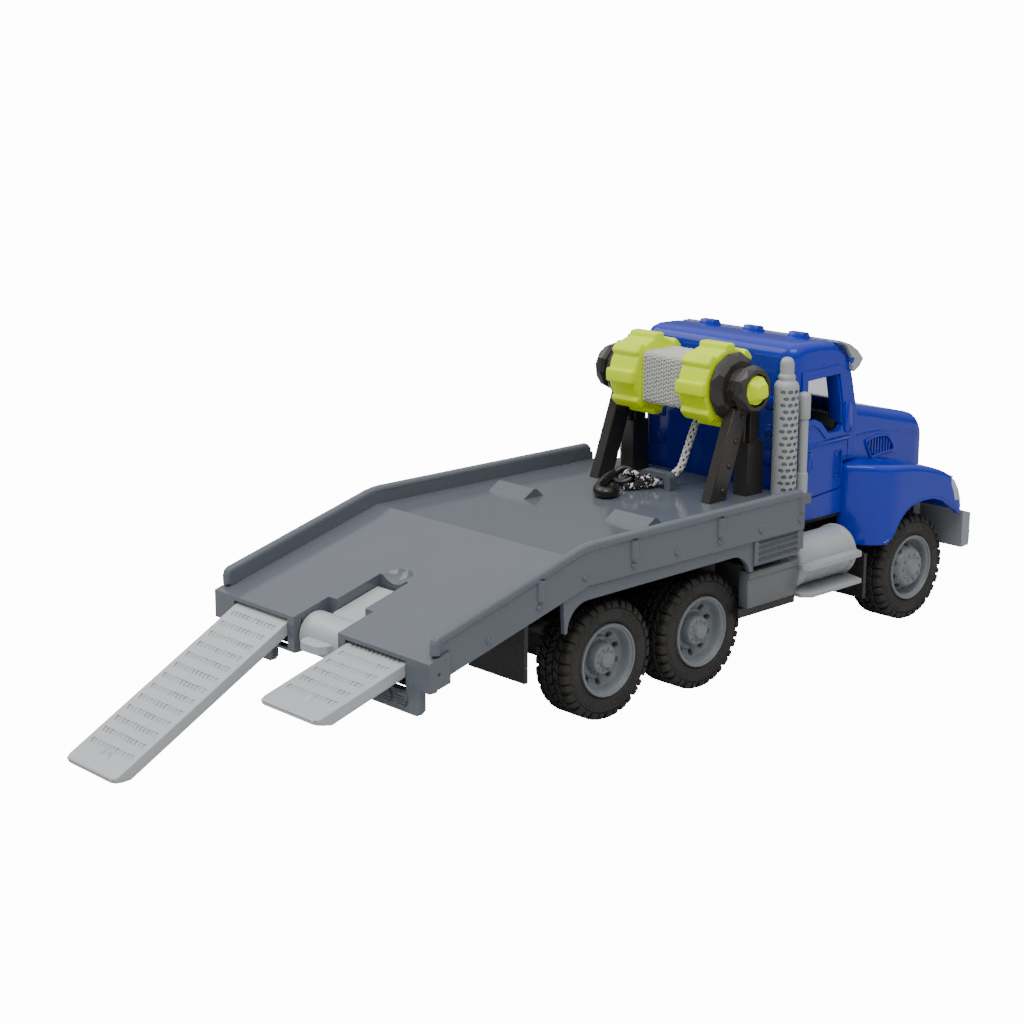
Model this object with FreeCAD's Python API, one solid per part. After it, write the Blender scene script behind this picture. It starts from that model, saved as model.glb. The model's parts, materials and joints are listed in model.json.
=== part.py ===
import FreeCAD, Part
import math
import os

V = FreeCAD.Vector

# Toy tow truck. Millimetres, +X forward, +Y left, +Z up.
# The design frame has x = 0 at the rearmost axle, y = 0 at the mid-plane and z = 0 on the ground.
# Everything is moved by SHIFT_X on export, so that the origin is below the middle of the truck.
SHIFT_X = -22.0

# ---- bed -----------------------------------------------------------------------------------------
REAR_X = -83.2          # rear face of the bed
KINK_X = -17.8          # where the sloped deck meets the flat deck
DECK_Z = 57.7           # flat deck
REAR_Z = 39.55          # deck height at the rear face
FRONT_X = 96.0          # front edge of the deck
CORNER_X = 87.7         # front edge of the bed's corners
GRADE = (DECK_Z - REAR_Z) / (KINK_X - REAR_X)
SLOPE = math.atan(GRADE)
SKIN = 1.35             # deck thickness above the ramps
FLOOR_DROP = 10.25      # floor below the deck
FLOOR_T = 1.15
DECK_Y = 49.5           # deck half width, inside the rails
BLOCK_Y = 53.17         # rear block half width
BLOCK_X = -75.0         # front of the rear block
SLOT_Y = (14.35, 42.55)
SLOT_LOW = 28.75        # the slots are deep enough for a ramp to tip as it slides
WALL_LOW = 27.8         # rear wall between the ramps
WIDE_Y = 11.0           # centre slot, wide rear part
NARROW_Y = 7.0          # centre slot, narrow part
WIDE_X = -69.2
NARROW_X = -51.6
TAIL_LAMP_Y = (34.0, 41.0)
TAIL_LAMP_Z = 26.1
TAIL_LAMP_R = 2.2

# ---- ramps ---------------------------------------------------------------------------------------
RAMP_Y = (14.65, 42.25)
RAMP_T = 4.0
RAMP_TOP = 1.59         # ramp top below the deck, square to the slope
PIN_R = 1.0
PIN_FIT = 0.05
PIN_IN = 3.5            # pin behind the rear face, along the slope, when the ramp is fully out
RAMP_OUT = 74.4         # ramp beyond the rear face when it is fully out
LEFT_TILT = 13.1        # left ramp, degrees below the line of the slope
RIGHT_TILT = 1.0        # right ramp's play in its channel, degrees
RIGHT_IN = 39.1         # right ramp, distance pushed in from fully out

# ---- wheels --------------------------------------------------------------------------------------
AXLES = {"rear": 0.0, "middle": 44.7, "front": 161.7}
WHEEL_R = 20.0
RIM_R = 12.2
TYRE_IN = 30.2
TYRE_OUT = 44.6
AXLE_R = 1.5
AXLE_FIT = 0.06
AXLE_Y = 44.4
SCREW_X = [-45.0, 22.0, 75.0, 110.0, 140.0, 176.0]

# ---- winch ---------------------------------------------------------------------------------------
HUB = (81.0, 96.0)      # winch axis, x and z
SPOOL_Y = (10.2, 22.9)
JOURNAL_R = 5.0
JOURNAL_FIT = 0.06
BLOCK_HALF = 9.3        # square winding, half width

# ---- rope ----------------------------------------------------------------------------------------
ROPE_D = 3.0
ROPE_ROUTE = [
    (85.6, -4.2, 81.4),
    (76.3, -3.4, 59.5),
    (63.9, 3.0, 59.9),
]
EYE = V(62.1, 9.3, 61.8)                # centre of the hook's eye
EYE_R = 3.4
EYE_WIRE = 1.35
TO_KNOT = V(0.347, -0.938, 0.0)         # from the eye to the knot, in the eye's plane
EYE_AXIS = V(-0.538, -0.199, 0.819)
LOOP_R = 2.9                            # the rope's loop through the eye
LOOP_WIRE = 1.4
HOOK_WIRE = 1.95
HOOK_PATH = [(60.9, 12.5, 61.8), (56.8, 12.0, 60.9), (52.9, 10.6, 60.1), (49.6, 8.7, 59.75),
             (46.6, 6.4, 59.75), (44.6, 3.4, 59.75), (44.9, 0.9, 59.75), (47.5, 0.6, 59.75),
             (50.6, 2.6, 59.75), (52.7, 4.8, 59.75)]

# ---- tow arm -------------------------------------------------------------------------------------
ARM = (-74.5, 33.0)     # hinge axis, x and z
ARM_R = 7.0
ARM_PIN_R = 1.5

# ---- cab -----------------------------------------------------------------------------------------
CAB_REAR = 99.5
CAB_Y = 36.0
CAB_BOTTOM = 45.5
WALL = 2.0
STEER = V(120.6, 15.0, 75.5)            # centre of the steering wheel
STEER_AXIS = V(-0.85, 0, 0.53)
LAMP = (176.9, 190.0, 38.0, 55.0, 43.4, 53.4)     # corner taken out of the wing for the headlight


def box(x0, x1, y0, y1, z0, z1):
    return Part.makeBox(x1 - x0, y1 - y0, z1 - z0, V(x0, y0, z0))


def rod_x(y, z, r, x0, x1):
    return Part.makeCylinder(r, x1 - x0, V(x0, y, z), V(1, 0, 0))


def rod_y(x, z, r, y0, y1):
    return Part.makeCylinder(r, y1 - y0, V(x, y0, z), V(0, 1, 0))


def rod_z(x, y, r, z0, z1):
    return Part.makeCylinder(r, z1 - z0, V(x, y, z0), V(0, 0, 1))


def link(a, b, r):
    a = V(*a)
    b = V(*b)
    return Part.makeCylinder(r, (b - a).Length, a, b - a)


def ball(x, y, z, r):
    return Part.makeSphere(r, V(x, y, z))


def loft(wires):
    solid = Part.makeLoft(wires, True, True)
    if solid.Volume < 0:
        solid.reverse()
    return solid


def face_of(points):
    return Part.Face(Part.makePolygon(points + [points[0]]))


def slab_xz(points, y0, y1):
    return face_of([V(x, y0, z) for x, z in points]).extrude(V(0, y1 - y0, 0))


def slab_yz(points, x0, x1):
    return face_of([V(x0, y, z) for y, z in points]).extrude(V(x1 - x0, 0, 0))


def slab_xy(points, z0, z1):
    return face_of([V(x, y, z0) for x, y in points]).extrude(V(0, 0, z1 - z0))


def fuse(shapes):
    whole = shapes[0]
    if len(shapes) > 1:
        whole = shapes[0].multiFuse(shapes[1:])
    return whole.removeSplitter()


def cut(shape, tools):
    return shape.cut(tools[0].multiFuse(tools[1:]) if len(tools) > 1 else tools[0]).removeSplitter()


def mirrored(shape):
    return shape.mirror(V(0, 0, 0), V(0, 1, 0))


def group(solids):
    return Part.makeCompound(solids)


def arc(cx, cz, r, a0, a1, steps=12):
    """Points on an arc in a plane, from angle a0 to a1 in degrees."""
    points = []
    for i in range(steps + 1):
        a = math.radians(a0 + (a1 - a0) * i / steps)
        points.append((cx + r * math.cos(a), cz + r * math.sin(a)))
    return points


def polygon(cx, cz, r, sides, turn=0.0):
    step = 360.0 / sides
    return arc(cx, cz, r, turn, turn + 360.0 - step, sides - 1)


def cone_polygon_y(cx, cz, r0, r1, y0, y1, sides, turn=0.0):
    """A many-sided frustum along Y."""
    rings = []
    for r, y in ((r0, y0), (r1, y1)):
        points = [V(x, y, z) for x, z in polygon(cx, cz, r, sides, turn)]
        rings.append(Part.makePolygon(points + [points[0]]))
    return loft(rings)


def turned_y(points, cx, cz):
    """A solid of revolution about a line along Y. Points are (radius, y)."""
    face = face_of([V(cx + r, y, cz) for r, y in points])
    return face.revolve(V(cx, 0, cz), V(0, 1, 0), 360)


def bed_z(x):
    return min(DECK_Z, REAR_Z + (x - REAR_X) * GRADE)


def sloped(s, n):
    """The point s along the slope from the rear face and n above the sloped deck, as x and z."""
    c = math.cos(SLOPE)
    d = math.sin(SLOPE)
    return (REAR_X + s * c - n * d, REAR_Z + s * d + n * c)


# ---- chassis -------------------------------------------------------------------------------------
def chassis_frame():
    parts = [box(-56.0, 183.7, -13.0, 13.0, 25.0, 35.0), running_board(), mirrored(running_board())]
    for x in AXLES.values():
        parts.append(slab_xz([(x - 7, 25), (x - 4, 15.5), (x + 4, 15.5), (x + 7, 25), (x + 7, 30),
                              (x - 7, 30)], -27.0, 27.0))
    parts.append(box(-12.0, 84.0, -13.0, 13.0, 35.0, 46.3))
    parts.append(box(99.0, 124.0, -13.0, 13.0, 35.0, 43.5))
    parts.append(box(180.5, 183.7, -28.6, 28.6, 29.0, 36.8))
    bores = [rod_y(x, 20.0, AXLE_R + AXLE_FIT, -28.0, 28.0) for x in AXLES.values()]
    for x in SCREW_X:
        bores.append(rod_z(x, 0.0, 2.3, 24.9, 26.5))
        bores.append(rod_z(x, 0.0, 1.1, 26.4, 34.0))
    return cut(fuse(parts), bores)


def chassis_screws():
    solids = []
    for x in SCREW_X:
        head = rod_z(x, 0.0, 2.2, 25.0, 26.5)
        slot_a = box(x - 1.5, x + 1.5, -0.35, 0.35, 24.9, 25.6)
        slot_b = box(x - 0.35, x + 0.35, -1.5, 1.5, 24.9, 25.6)
        shank = rod_z(x, 0.0, 1.1, 26.5, 33.6)
        solids.append(cut(fuse([head, shank]), [slot_a, slot_b]))
    return group(solids)


def running_board():
    outer = box(59.0, 88.9, 45.9, 48.0, 22.2, 25.5)
    inner = box(66.5, 88.9, 12.0, 45.9, 22.2, 25.5)
    return fuse([outer, inner])


# ---- bed -----------------------------------------------------------------------------------------
def flatbed_deck():
    inner_x = -14.0
    skin = slab_xz([(REAR_X, REAR_Z), (KINK_X, DECK_Z), (FRONT_X, DECK_Z), (FRONT_X, DECK_Z - 2.0),
                    (inner_x, DECK_Z - 2.0), (inner_x, DECK_Z - SKIN), (KINK_X, DECK_Z - SKIN),
                    (REAR_X, REAR_Z - SKIN)], -DECK_Y, DECK_Y)
    parts = [skin]
    side = slab_xz([(REAR_X, REAR_Z - 8.0), (KINK_X, DECK_Z - 8.0), (FRONT_X, DECK_Z - 8.0),
                    (FRONT_X, DECK_Z - 0.5), (KINK_X, DECK_Z - 0.5), (REAR_X, REAR_Z - 0.5)], 47.6, DECK_Y)
    parts += [side, mirrored(side)]
    parts.append(box(FRONT_X - 1.8, FRONT_X, -DECK_Y, DECK_Y, DECK_Z - 8.0, DECK_Z - 1.0))
    # rear wall with lamp area, and the wider block behind the rails
    wall = slab_yz([(-BLOCK_Y, 30.45), (-46.0, 30.45), (-44.0, WALL_LOW), (44.0, WALL_LOW), (46.0, 30.45),
                    (BLOCK_Y, 30.45), (BLOCK_Y, REAR_Z + 0.83), (-BLOCK_Y, REAR_Z + 0.83)],
                   REAR_X, REAR_X + 3.0)
    block = slab_xz([(REAR_X, 30.45), (BLOCK_X, 32.2), (BLOCK_X, bed_z(BLOCK_X)), (REAR_X, REAR_Z)],
                    DECK_Y - 1.0, BLOCK_Y)
    parts += [wall, block, mirrored(block)]
    # ribs above the ramp pins, and walls round the centre slot
    for y0, y1 in ((13.1, 14.35), (42.55, 43.8)):
        rib = slab_xz([sloped(2.8, -1.2), sloped(68.5, -1.2), sloped(68.5, -2.6), sloped(2.8, -2.6)], y0, y1)
        parts += [rib, mirrored(rib)]
    parts.append(slab_xz([sloped(2.8, -1.0), sloped(16.3, -1.0), sloped(16.3, -9.0), sloped(10.0, -12.0),
                          sloped(2.8, -12.0)], -12.4, 12.4))
    parts.append(slab_xz([sloped(14.0, -1.0), sloped(41.0, -1.0), sloped(41.0, -7.0), sloped(14.0, -7.0)],
                         -8.4, 8.4))
    whole = fuse(parts)
    above = slab_xz([(REAR_X - 1, REAR_Z - 0.27753), (KINK_X, DECK_Z), (FRONT_X + 1, DECK_Z),
                     (FRONT_X + 1, 90.0), (REAR_X - 1, 90.0)], -60.0, 60.0)
    openings = [above]
    for y0, y1 in (SLOT_Y, (-SLOT_Y[1], -SLOT_Y[0])):
        openings.append(slab_xz([(REAR_X - 1, SLOT_LOW), (REAR_X + 3.5, SLOT_LOW),
                                 (REAR_X + 3.5, bed_z(REAR_X + 3.5) - SKIN),
                                 (REAR_X - 1, bed_z(REAR_X - 1) - SKIN)], y0, y1))
    openings.append(box(REAR_X - 1, WIDE_X, -WIDE_Y, WIDE_Y, 20.0, 60.0))
    openings.append(slab_xz([sloped(12.0, 2.0), (NARROW_X, 60.0), (NARROW_X, 20.0), (WIDE_X - 2, 20.0)],
                            -NARROW_Y, NARROW_Y))
    openings.append(rod_y(ARM[0], ARM[1], ARM_R + 0.4, -WIDE_Y, WIDE_Y))
    openings.append(rod_y(ARM[0], ARM[1], ARM_PIN_R, -12.5, 12.5))
    scoop_x, scoop_z = sloped(33.4, 6.3)
    openings.append(ball(scoop_x, 0.0, scoop_z, 8.4))
    # front corners stand back, where the rails end
    for sign in (1, -1):
        corner = slab_xy([(CORNER_X, sign * 43.5), (FRONT_X + 1, sign * 43.5), (FRONT_X + 1, sign * 60.0),
                          (CORNER_X, sign * 60.0)], 40.0, 70.0)
        openings.append(corner)
    for side_y in (BLOCK_Y, -BLOCK_Y):
        openings.append(rod_y(-79.5, 35.7, 0.55, side_y - 0.4, side_y + 0.4))
    whole = cut(whole, openings)
    corner_wall = box(CORNER_X - 1.8, CORNER_X, 43.5, DECK_Y, DECK_Z - 8.0, DECK_Z)
    inner_wall = box(CORNER_X - 1.8, FRONT_X, 42.0, 43.5, DECK_Z - 8.0, DECK_Z)
    extras = [corner_wall, inner_wall, stack_bracket(), tail_lamp_bracket()]
    whole = fuse([whole] + extras + [mirrored(e) for e in extras] + wheel_chocks())
    return cut(whole, tail_lamp_rods(TAIL_LAMP_R + 0.05, REAR_X - 1.0))


def bed_floor():
    drop = FLOOR_DROP
    low = FLOOR_DROP + FLOOR_T
    x0 = REAR_X + 3.0
    plate = slab_xz([(x0, bed_z(x0) - drop), (KINK_X, DECK_Z - drop), (84.0, DECK_Z - drop),
                     (84.0, DECK_Z - low), (KINK_X, DECK_Z - low), (x0, bed_z(x0) - low)], -43.8, 43.8)
    parts = [plate]
    # ribs below the ramp pins carry their ends
    for y0, y1 in ((13.1, 14.35), (42.55, 43.8)):
        rib = slab_xz([sloped(3.2, -4.75), sloped(68.5, -4.75), sloped(68.5, -10.0), sloped(3.2, -9.9)],
                      y0, y1)
        parts += [rib, mirrored(rib)]
    opening = box(REAR_X, NARROW_X + 3.0, -12.5, 12.5, 15.0, 60.0)
    return cut(fuse(parts), [opening])


def tube_path(points, r):
    parts = []
    for a, b in zip(points, points[1:]):
        parts.append(link(a, b, r))
    for x, y, z in points[1:-1]:
        parts.append(ball(x, y, z, r * 1.01))
    return fuse(parts)


def side_rail():
    """The bed's left side: skirt, half-round posts, rivets and the round top rail."""
    top = 4.4
    wall = slab_xz([(BLOCK_X, 34.0), (-17.0, 49.8), (CORNER_X, 49.5), (CORNER_X, 59.8),
                    (85.0, DECK_Z + top), (-20.0, DECK_Z + top - 0.6), (-78.2, 45.4), (-79.2, 44.0),
                    (-79.2, bed_z(-79.2) + 0.1), (BLOCK_X, bed_z(BLOCK_X) + 0.1)], DECK_Y, 52.2)
    rail_y = 51.2
    path = [(-79.2, rail_y, 41.3), (-79.2, rail_y, 44.0), (-78.2, rail_y, 45.4), (-20.2, rail_y, 61.5),
            (-15.0, rail_y, DECK_Z + top), (84.6, rail_y, DECK_Z + top), (85.9, rail_y, 61.2),
            (86.0, rail_y, 55.6)]
    parts = [wall, tube_path(path, 1.65)]
    for x, z0, z1 in ((-37.9, 49.8, 56.0), (2.8, 55.0, 61.0), (43.9, 55.0, 61.0)):
        parts.append(rod_z(x, 52.0, 1.45, z0, z1))
        parts.append(ball(x, 52.0, z0, 1.45))
    rivets = [(-59.4, 41.4), (-38.6, 47.2), (-19.1, 52.8), (2.7, 52.6), (23.0, 52.8), (43.6, 52.8),
              (64.6, 52.8), (85.2, 52.9)]
    for x, z in rivets:
        parts.append(rod_y(x, z, 0.85, 52.0, 52.65))
    return fuse(parts)


def arch_panel():
    """Left side panel below the skirt, with the arch over the rear wheels."""
    top = 49.35
    rear = arc(-16.5, 36.0, 9.0, 180.0, 90.0, 8)
    front = arc(51.8, 36.6, 9.0, 90.0, 15.0, 8)
    points = [(-27.3, 46.6), (-26.6, 35.9)] + rear + front + [(62.3, 38.93), (62.3, top), (-17.3, top)]
    return slab_xz([(x, min(z, 45.6) if i and i < len(points) - 2 else z)
                    for i, (x, z) in enumerate(points)], 49.6, 51.2)


def side_panel():
    """The arch with the louvred plate in front of it."""
    panel = slab_xz([(62.1, 40.8), (84.4, 40.8), (86.4, 42.5), (CORNER_X, 42.5), (CORNER_X, 49.4),
                     (62.1, 49.4)], 49.6, 51.9)
    grooves = []
    for i in range(4):
        z = 42.4 + 1.95 * i
        grooves.append(fuse([box(65.0, 84.0, 51.1, 52.5, z - 0.45, z + 0.45),
                             rod_y(65.0, z, 0.45, 51.1, 52.5), rod_y(84.0, z, 0.45, 51.1, 52.5)]))
    return fuse([cut(panel, grooves), arch_panel()])


def toolbox():
    outer = box(61.2, 87.3, 45.9, 50.2, 25.6, 38.6)
    inner = box(67.0, 87.3, 30.0, 45.9, 25.6, 38.6)
    lid = box(61.2, 87.3, 50.0, 50.6, 36.3, 38.6)
    hanger = box(68.0, 86.0, 36.0, 42.0, 38.6, 46.3)
    return fuse([outer, inner, lid, hanger])


def fuel_tank():
    y = 41.0
    z = 34.2
    parts = [rod_x(y, z, 8.8, 89.5, 121.5)]
    for x in (91.0, 118.4):
        parts.append(rod_x(y, z, 9.3, x, x + 1.6))
    parts.append(box(96.0, 114.0, 27.0, 33.0, 28.0, 40.0))
    parts.append(box(96.0, 114.0, 13.0, 27.2, 29.0, 33.0))
    upper = slab_xy([(89.3, 46.0), (122.5, 46.0), (119.8, 53.2), (91.5, 53.2), (89.3, 51.0)], 33.7, 35.8)
    lower = slab_xy([(89.3, 42.0), (123.5, 42.0), (120.3, 53.2), (92.5, 53.2), (89.3, 50.5)], 23.8, 25.6)
    posts = [box(x, x + 3.0, 46.5, 50.8, 25.0, 34.5) for x in (91.0, 116.0)]
    return fuse(parts + [upper, lower] + posts)


def front_mudflap():
    return fuse([box(125.2, 126.8, 29.0, 50.0, 16.3, 33.0), box(125.2, 126.8, 13.0, 40.0, 28.0, 33.0)])


def rear_mudflap():
    return box(-38.8, -37.2, 20.5, 46.0, 21.4, bed_z(-38.8) - FLOOR_DROP - FLOOR_T)


def tail_lamp_bracket():
    return slab_yz([(22.5, WALL_LOW), (22.5, 24.0), (24.0, 22.3), (47.2, 22.3), (48.7, 24.0), (48.7, 30.45),
                    (46.0, 30.45), (44.0, WALL_LOW)], REAR_X, REAR_X + 2.4)


def tail_lamp_rods(r, x0):
    left = [rod_x(y, TAIL_LAMP_Z, r, x0, REAR_X + 1.2) for y in TAIL_LAMP_Y]
    return left + [mirrored(rod) for rod in left]


def tail_lamps():
    grooves = [box(REAR_X - 0.8, REAR_X - 0.45, -50.0, 50.0, z, z + 0.4) for z in (24.7, 25.5, 26.3, 27.1)]
    return group([cut(lamp, grooves) for lamp in tail_lamp_rods(TAIL_LAMP_R, REAR_X - 0.7)])


def wheel_chocks():
    wedge = slab_xz([(23.0, DECK_Z - 0.5), (23.0, DECK_Z), (28.0, 60.7), (29.2, 60.7), (32.5, DECK_Z),
                     (32.5, DECK_Z - 0.5)], 19.5, 37.5)
    return [wedge, mirrored(wedge)]


def rope_guide():
    outer = slab_yz([(-7.0, DECK_Z), (7.0, DECK_Z)] + arc(4.6, 61.6, 2.4, 0, 90, 6)
                    + arc(-4.6, 61.6, 2.4, 90, 180, 6), 68.7, 72.0)
    inner = slab_yz([(-4.3, DECK_Z - 1), (4.3, DECK_Z - 1)] + arc(3.1, 60.7, 1.2, 0, 90, 4)
                    + arc(-3.1, 60.7, 1.2, 90, 180, 4), 68.0, 73.0)
    return cut(outer, [inner])


# ---- winch ---------------------------------------------------------------------------------------
def winch_frame():
    """Left A-frame: upright box post, leaning leg, and the many-sided bearing plate."""
    hx, hz = HUB
    post = box(82.5, 91.3, 24.2, 30.2, DECK_Z, 76.5)
    column = box(83.3, 89.6, 24.6, 29.8, 76.5, 90.0)
    leg = slab_xz([(64.9, DECK_Z), (73.0, DECK_Z), (85.2, 91.0), (77.2, 91.0)], 24.8, 29.4)
    plate = cone_polygon_y(hx, hz, 12.2, 9.4, 24.2, 27.4, 12, 15.0)
    rim = cone_polygon_y(hx, hz, 11.4, 12.2, 23.2, 24.2, 12, 15.0)
    neck = rod_y(hx, hz, 6.8, 27.0, 30.6)
    bore = rod_y(hx, hz, JOURNAL_R + JOURNAL_FIT, 20.0, 31.0)
    pits = [rod_y(68.9 + (i + 1) * 2.25, DECK_Z + (i + 1) * 6.1, 0.9, 29.0, 29.6) for i in range(4)]
    return cut(fuse([post, column, leg, plate, rim, neck]), [bore] + pits)


def winch_bearing():
    hx, hz = HUB
    ring = fuse([cone_polygon_y(hx, hz, 7.4, 8.4, 30.6, 31.6, 10, 9.0),
                 cone_polygon_y(hx, hz, 8.4, 8.4, 31.6, 33.6, 10, 9.0),
                 cone_polygon_y(hx, hz, 8.4, 7.2, 33.6, 35.2, 10, 9.0)])
    return cut(ring, [rod_y(hx, hz, JOURNAL_R + JOURNAL_FIT, 28.0, 37.0)])


def spool_wheel():
    """Left drum flange with full-width lugs, journal, tapered end and the square plug for the core."""
    hx, hz = HUB
    y0, y1 = SPOOL_Y
    parts = [rod_y(hx, hz, 12.9, y0, y1)]
    for i in range(8):
        a = math.radians(45.0 * i)
        x = hx + 12.1 * math.cos(a)
        z = hz + 12.1 * math.sin(a)
        parts.append(rod_y(x, z, 2.7, y0, y1))
    parts.append(rod_y(hx, hz, JOURNAL_R, y1, 34.8))
    tip = cone_polygon_y(hx, hz, 6.0, 4.0, 34.8, 38.2, 4, 45.0)
    parts.append(tip.common(rod_y(hx, hz, 4.9, 34.0, 39.0)))
    parts.append(box(hx - 4.0, hx + 4.0, 2.0, y0 + 1.0, hz - 4.0, hz + 4.0))
    return fuse(parts)


def spool_core():
    hx, hz = HUB
    outer = box(hx - 6.0, hx + 6.0, -SPOOL_Y[0], SPOOL_Y[0], hz - 6.0, hz + 6.0)
    inner = box(hx - 4.0, hx + 4.0, -SPOOL_Y[0] - 1, SPOOL_Y[0] + 1, hz - 4.0, hz + 4.0)
    return cut(outer, [inner])


def wound_rope():
    """The winding as one square block, with the short lead to where the free rope starts."""
    hx, hz = HUB
    h = BLOCK_HALF
    y = SPOOL_Y[0] - 0.1
    outer = box(hx - h, hx + h, -y, y, hz - h, hz + h)
    outer = outer.makeFillet(2.0, [e for e in outer.Edges if abs(e.tangentAt(e.FirstParameter).y) > 0.9])
    inner = box(hx - 6.0, hx + 6.0, -20.0, 20.0, hz - 6.0, hz + 6.0)
    a = V(*ROPE_ROUTE[0])
    d = a - V(*ROPE_ROUTE[1])
    d.normalize()
    start = a + d * 9.0
    end = a + d * 3.0
    lead = Part.makeCylinder(ROPE_D / 2, (end - start).Length, start, end - start)
    return cut(fuse([outer, lead]), [inner])


def corner_radius(points, i):
    a = V(*points[i - 1]) - V(*points[i])
    b = V(*points[i + 1]) - V(*points[i])
    turn = math.pi - a.getAngle(b)
    return 0.45 * min(a.Length, b.Length) / math.tan(turn / 2), turn


def rope_axis(points, radii):
    edges = []
    here = V(*points[0])
    for i in range(1, len(points) - 1):
        p = V(*points[i])
        a = V(*points[i - 1]) - p
        b = V(*points[i + 1]) - p
        half = a.getAngle(b) / 2
        reach = radii[i - 1] / math.tan(half)
        a.normalize()
        b.normalize()
        t0 = p + a * reach
        t1 = p + b * reach
        bisector = a + b
        bisector.normalize()
        middle = p + bisector * (radii[i - 1] / math.sin(half) - radii[i - 1])
        edges.append(Part.makeLine(here, t0))
        edges.append(Part.Arc(t0, middle, t1).toShape())
        here = t1
    edges.append(Part.makeLine(here, V(*points[-1])))
    return Part.Wire(edges)


def winch_rope():
    radii = []
    for i in range(1, len(ROPE_ROUTE) - 1):
        radius, turn = corner_radius(ROPE_ROUTE, i)
        radii.append(radius)
        print("rope corner", i, "radius", round(radius, 2), "turn", round(math.degrees(turn), 1))
    axis = rope_axis(ROPE_ROUTE, radii)
    first = axis.Edges[0]
    normal = first.tangentAt(first.FirstParameter)
    section = Part.Wire(Part.makeCircle(ROPE_D / 2, V(*ROPE_ROUTE[0]), normal))
    tube = axis.makePipeShell([section], True, False)
    expected = math.pi * (ROPE_D / 2) ** 2 * axis.Length
    print("rope length", round(axis.Length, 2), "volume", round(tube.Volume, 2), "of", round(expected, 2))
    return tube


def rope_knot():
    """The knot at the rope's end, its loop through the hook's eye and the short loose tail."""
    end = V(*ROPE_ROUTE[-1])
    before = V(*ROPE_ROUTE[-2])
    middle = end + V(0.6, -0.3, 0.4)
    wrap = Part.makeTorus(1.3, 1.25, middle, end - before)
    core = Part.makeSphere(2.2, middle)
    loop = Part.makeTorus(LOOP_R, LOOP_WIRE, EYE + TO_KNOT * EYE_R, TO_KNOT.cross(EYE_AXIS))
    tail = link((63.4, 2.8, 59.7), (58.0, 4.4, 59.2), 1.3)
    knot = fuse([wrap, core, loop, tail])
    bore = Part.makeCylinder(ROPE_D / 2, 14.0, end, before - end)
    return knot.cut(bore)


def tow_hook():
    """The open hook lies on the deck; its neck rises to the eye."""
    eye = Part.makeTorus(EYE_R, EYE_WIRE, EYE, EYE_AXIS)
    curve = Part.BSplineCurve()
    curve.interpolate([V(*point) for point in HOOK_PATH])
    start, along = curve.value(curve.FirstParameter), curve.tangent(curve.FirstParameter)[0]
    section = Part.Wire(Part.makeCircle(HOOK_WIRE, start, along))
    body = Part.Wire(curve.toShape()).makePipeShell([section], True, False)
    return eye.fuse(body)


# ---- tow arm and ramps ---------------------------------------------------------------------------
def tow_arm():
    ax, az = ARM
    barrel = rod_y(ax, az, ARM_R, -WIDE_Y + 0.4, WIDE_Y - 0.4)
    strip = slab_xz([sloped(12.0, -3.3), sloped(30.4, -3.3), sloped(30.4, -5.5), sloped(9.0, -5.5)],
                    -6.6, 6.6)
    tab = slab_xy([(ax, -6.0), (ax - 9.0, -6.0), (ax - 11.2, -4.6), (ax - 12.0, -2.8), (ax - 12.0, 2.8),
                   (ax - 11.2, 4.6), (ax - 9.0, 6.0), (ax, 6.0)], 31.4, 34.0)
    bore = rod_y(ax, az, ARM_PIN_R + 0.05, -20.0, 20.0)
    return cut(fuse([barrel, strip, tab]), [bore])


def arm_pin():
    return rod_y(ARM[0], ARM[1], ARM_PIN_R, -12.0, 12.0)


def pin_centre(pushed_in):
    return sloped(PIN_IN + pushed_in, -(RAMP_TOP + RAMP_T / 2))


def ramp(side, pushed_in, tilt):
    """One loading ramp, tilted about its pin. It is drawn flat along -X, then turned to the slope."""
    px, pz = pin_centre(pushed_in)
    length = PIN_IN + RAMP_OUT
    half = RAMP_T / 2
    y0, y1 = RAMP_Y
    profile = [(0.0, -half), (0.0, half), (-length + 1.0, half), (-length, half - 1.0), (-length, half - 1.4),
               (-length + 5.1, -half)]
    body = slab_xz(profile, y0, y1)
    body = fuse([body, rod_y(0.0, 0.0, half, y0, y1)])
    rows = []
    for i in range(13):
        x = -PIN_IN - 3.4 - 5.07 * i
        rows.append(box(x - 1.3, x + 0.3, y0 + 2.2, y1 - 2.2, half - 0.5, half + 1.0))
    grip_x = -length + 6.0
    bowl = ball(grip_x, (y0 + y1) / 2, half + 6.36, 7.26)
    grip = bowl.common(box(grip_x, grip_x + 8.0, y0, y1, half - 2.0, half + 3.0))
    bore = rod_y(0.0, 0.0, PIN_R + PIN_FIT, y0 - 1, y1 + 1)
    body = cut(body, rows + [grip, bore])
    # the far-end corners are bevelled in plan
    for y, s in ((y0, 1), (y1, -1)):
        body = body.cut(slab_xy([(-length - 1, y - s), (-length + 1.6, y - s), (-length + 1.6, y),
                                 (-length, y + s * 1.6), (-length - 1, y + s * 1.6)], -9.0, 9.0))
    if side == "right":
        body = mirrored(body)
    body.rotate(V(0, 0, 0), V(0, 1, 0), -math.degrees(SLOPE) - tilt)
    body.translate(V(px, 0, pz))
    return body


def ramp_pin(side, pushed_in):
    px, pz = pin_centre(pushed_in)
    pin = rod_y(px, pz, PIN_R, 13.2, 43.7)
    return pin if side == "left" else mirrored(pin)


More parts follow.
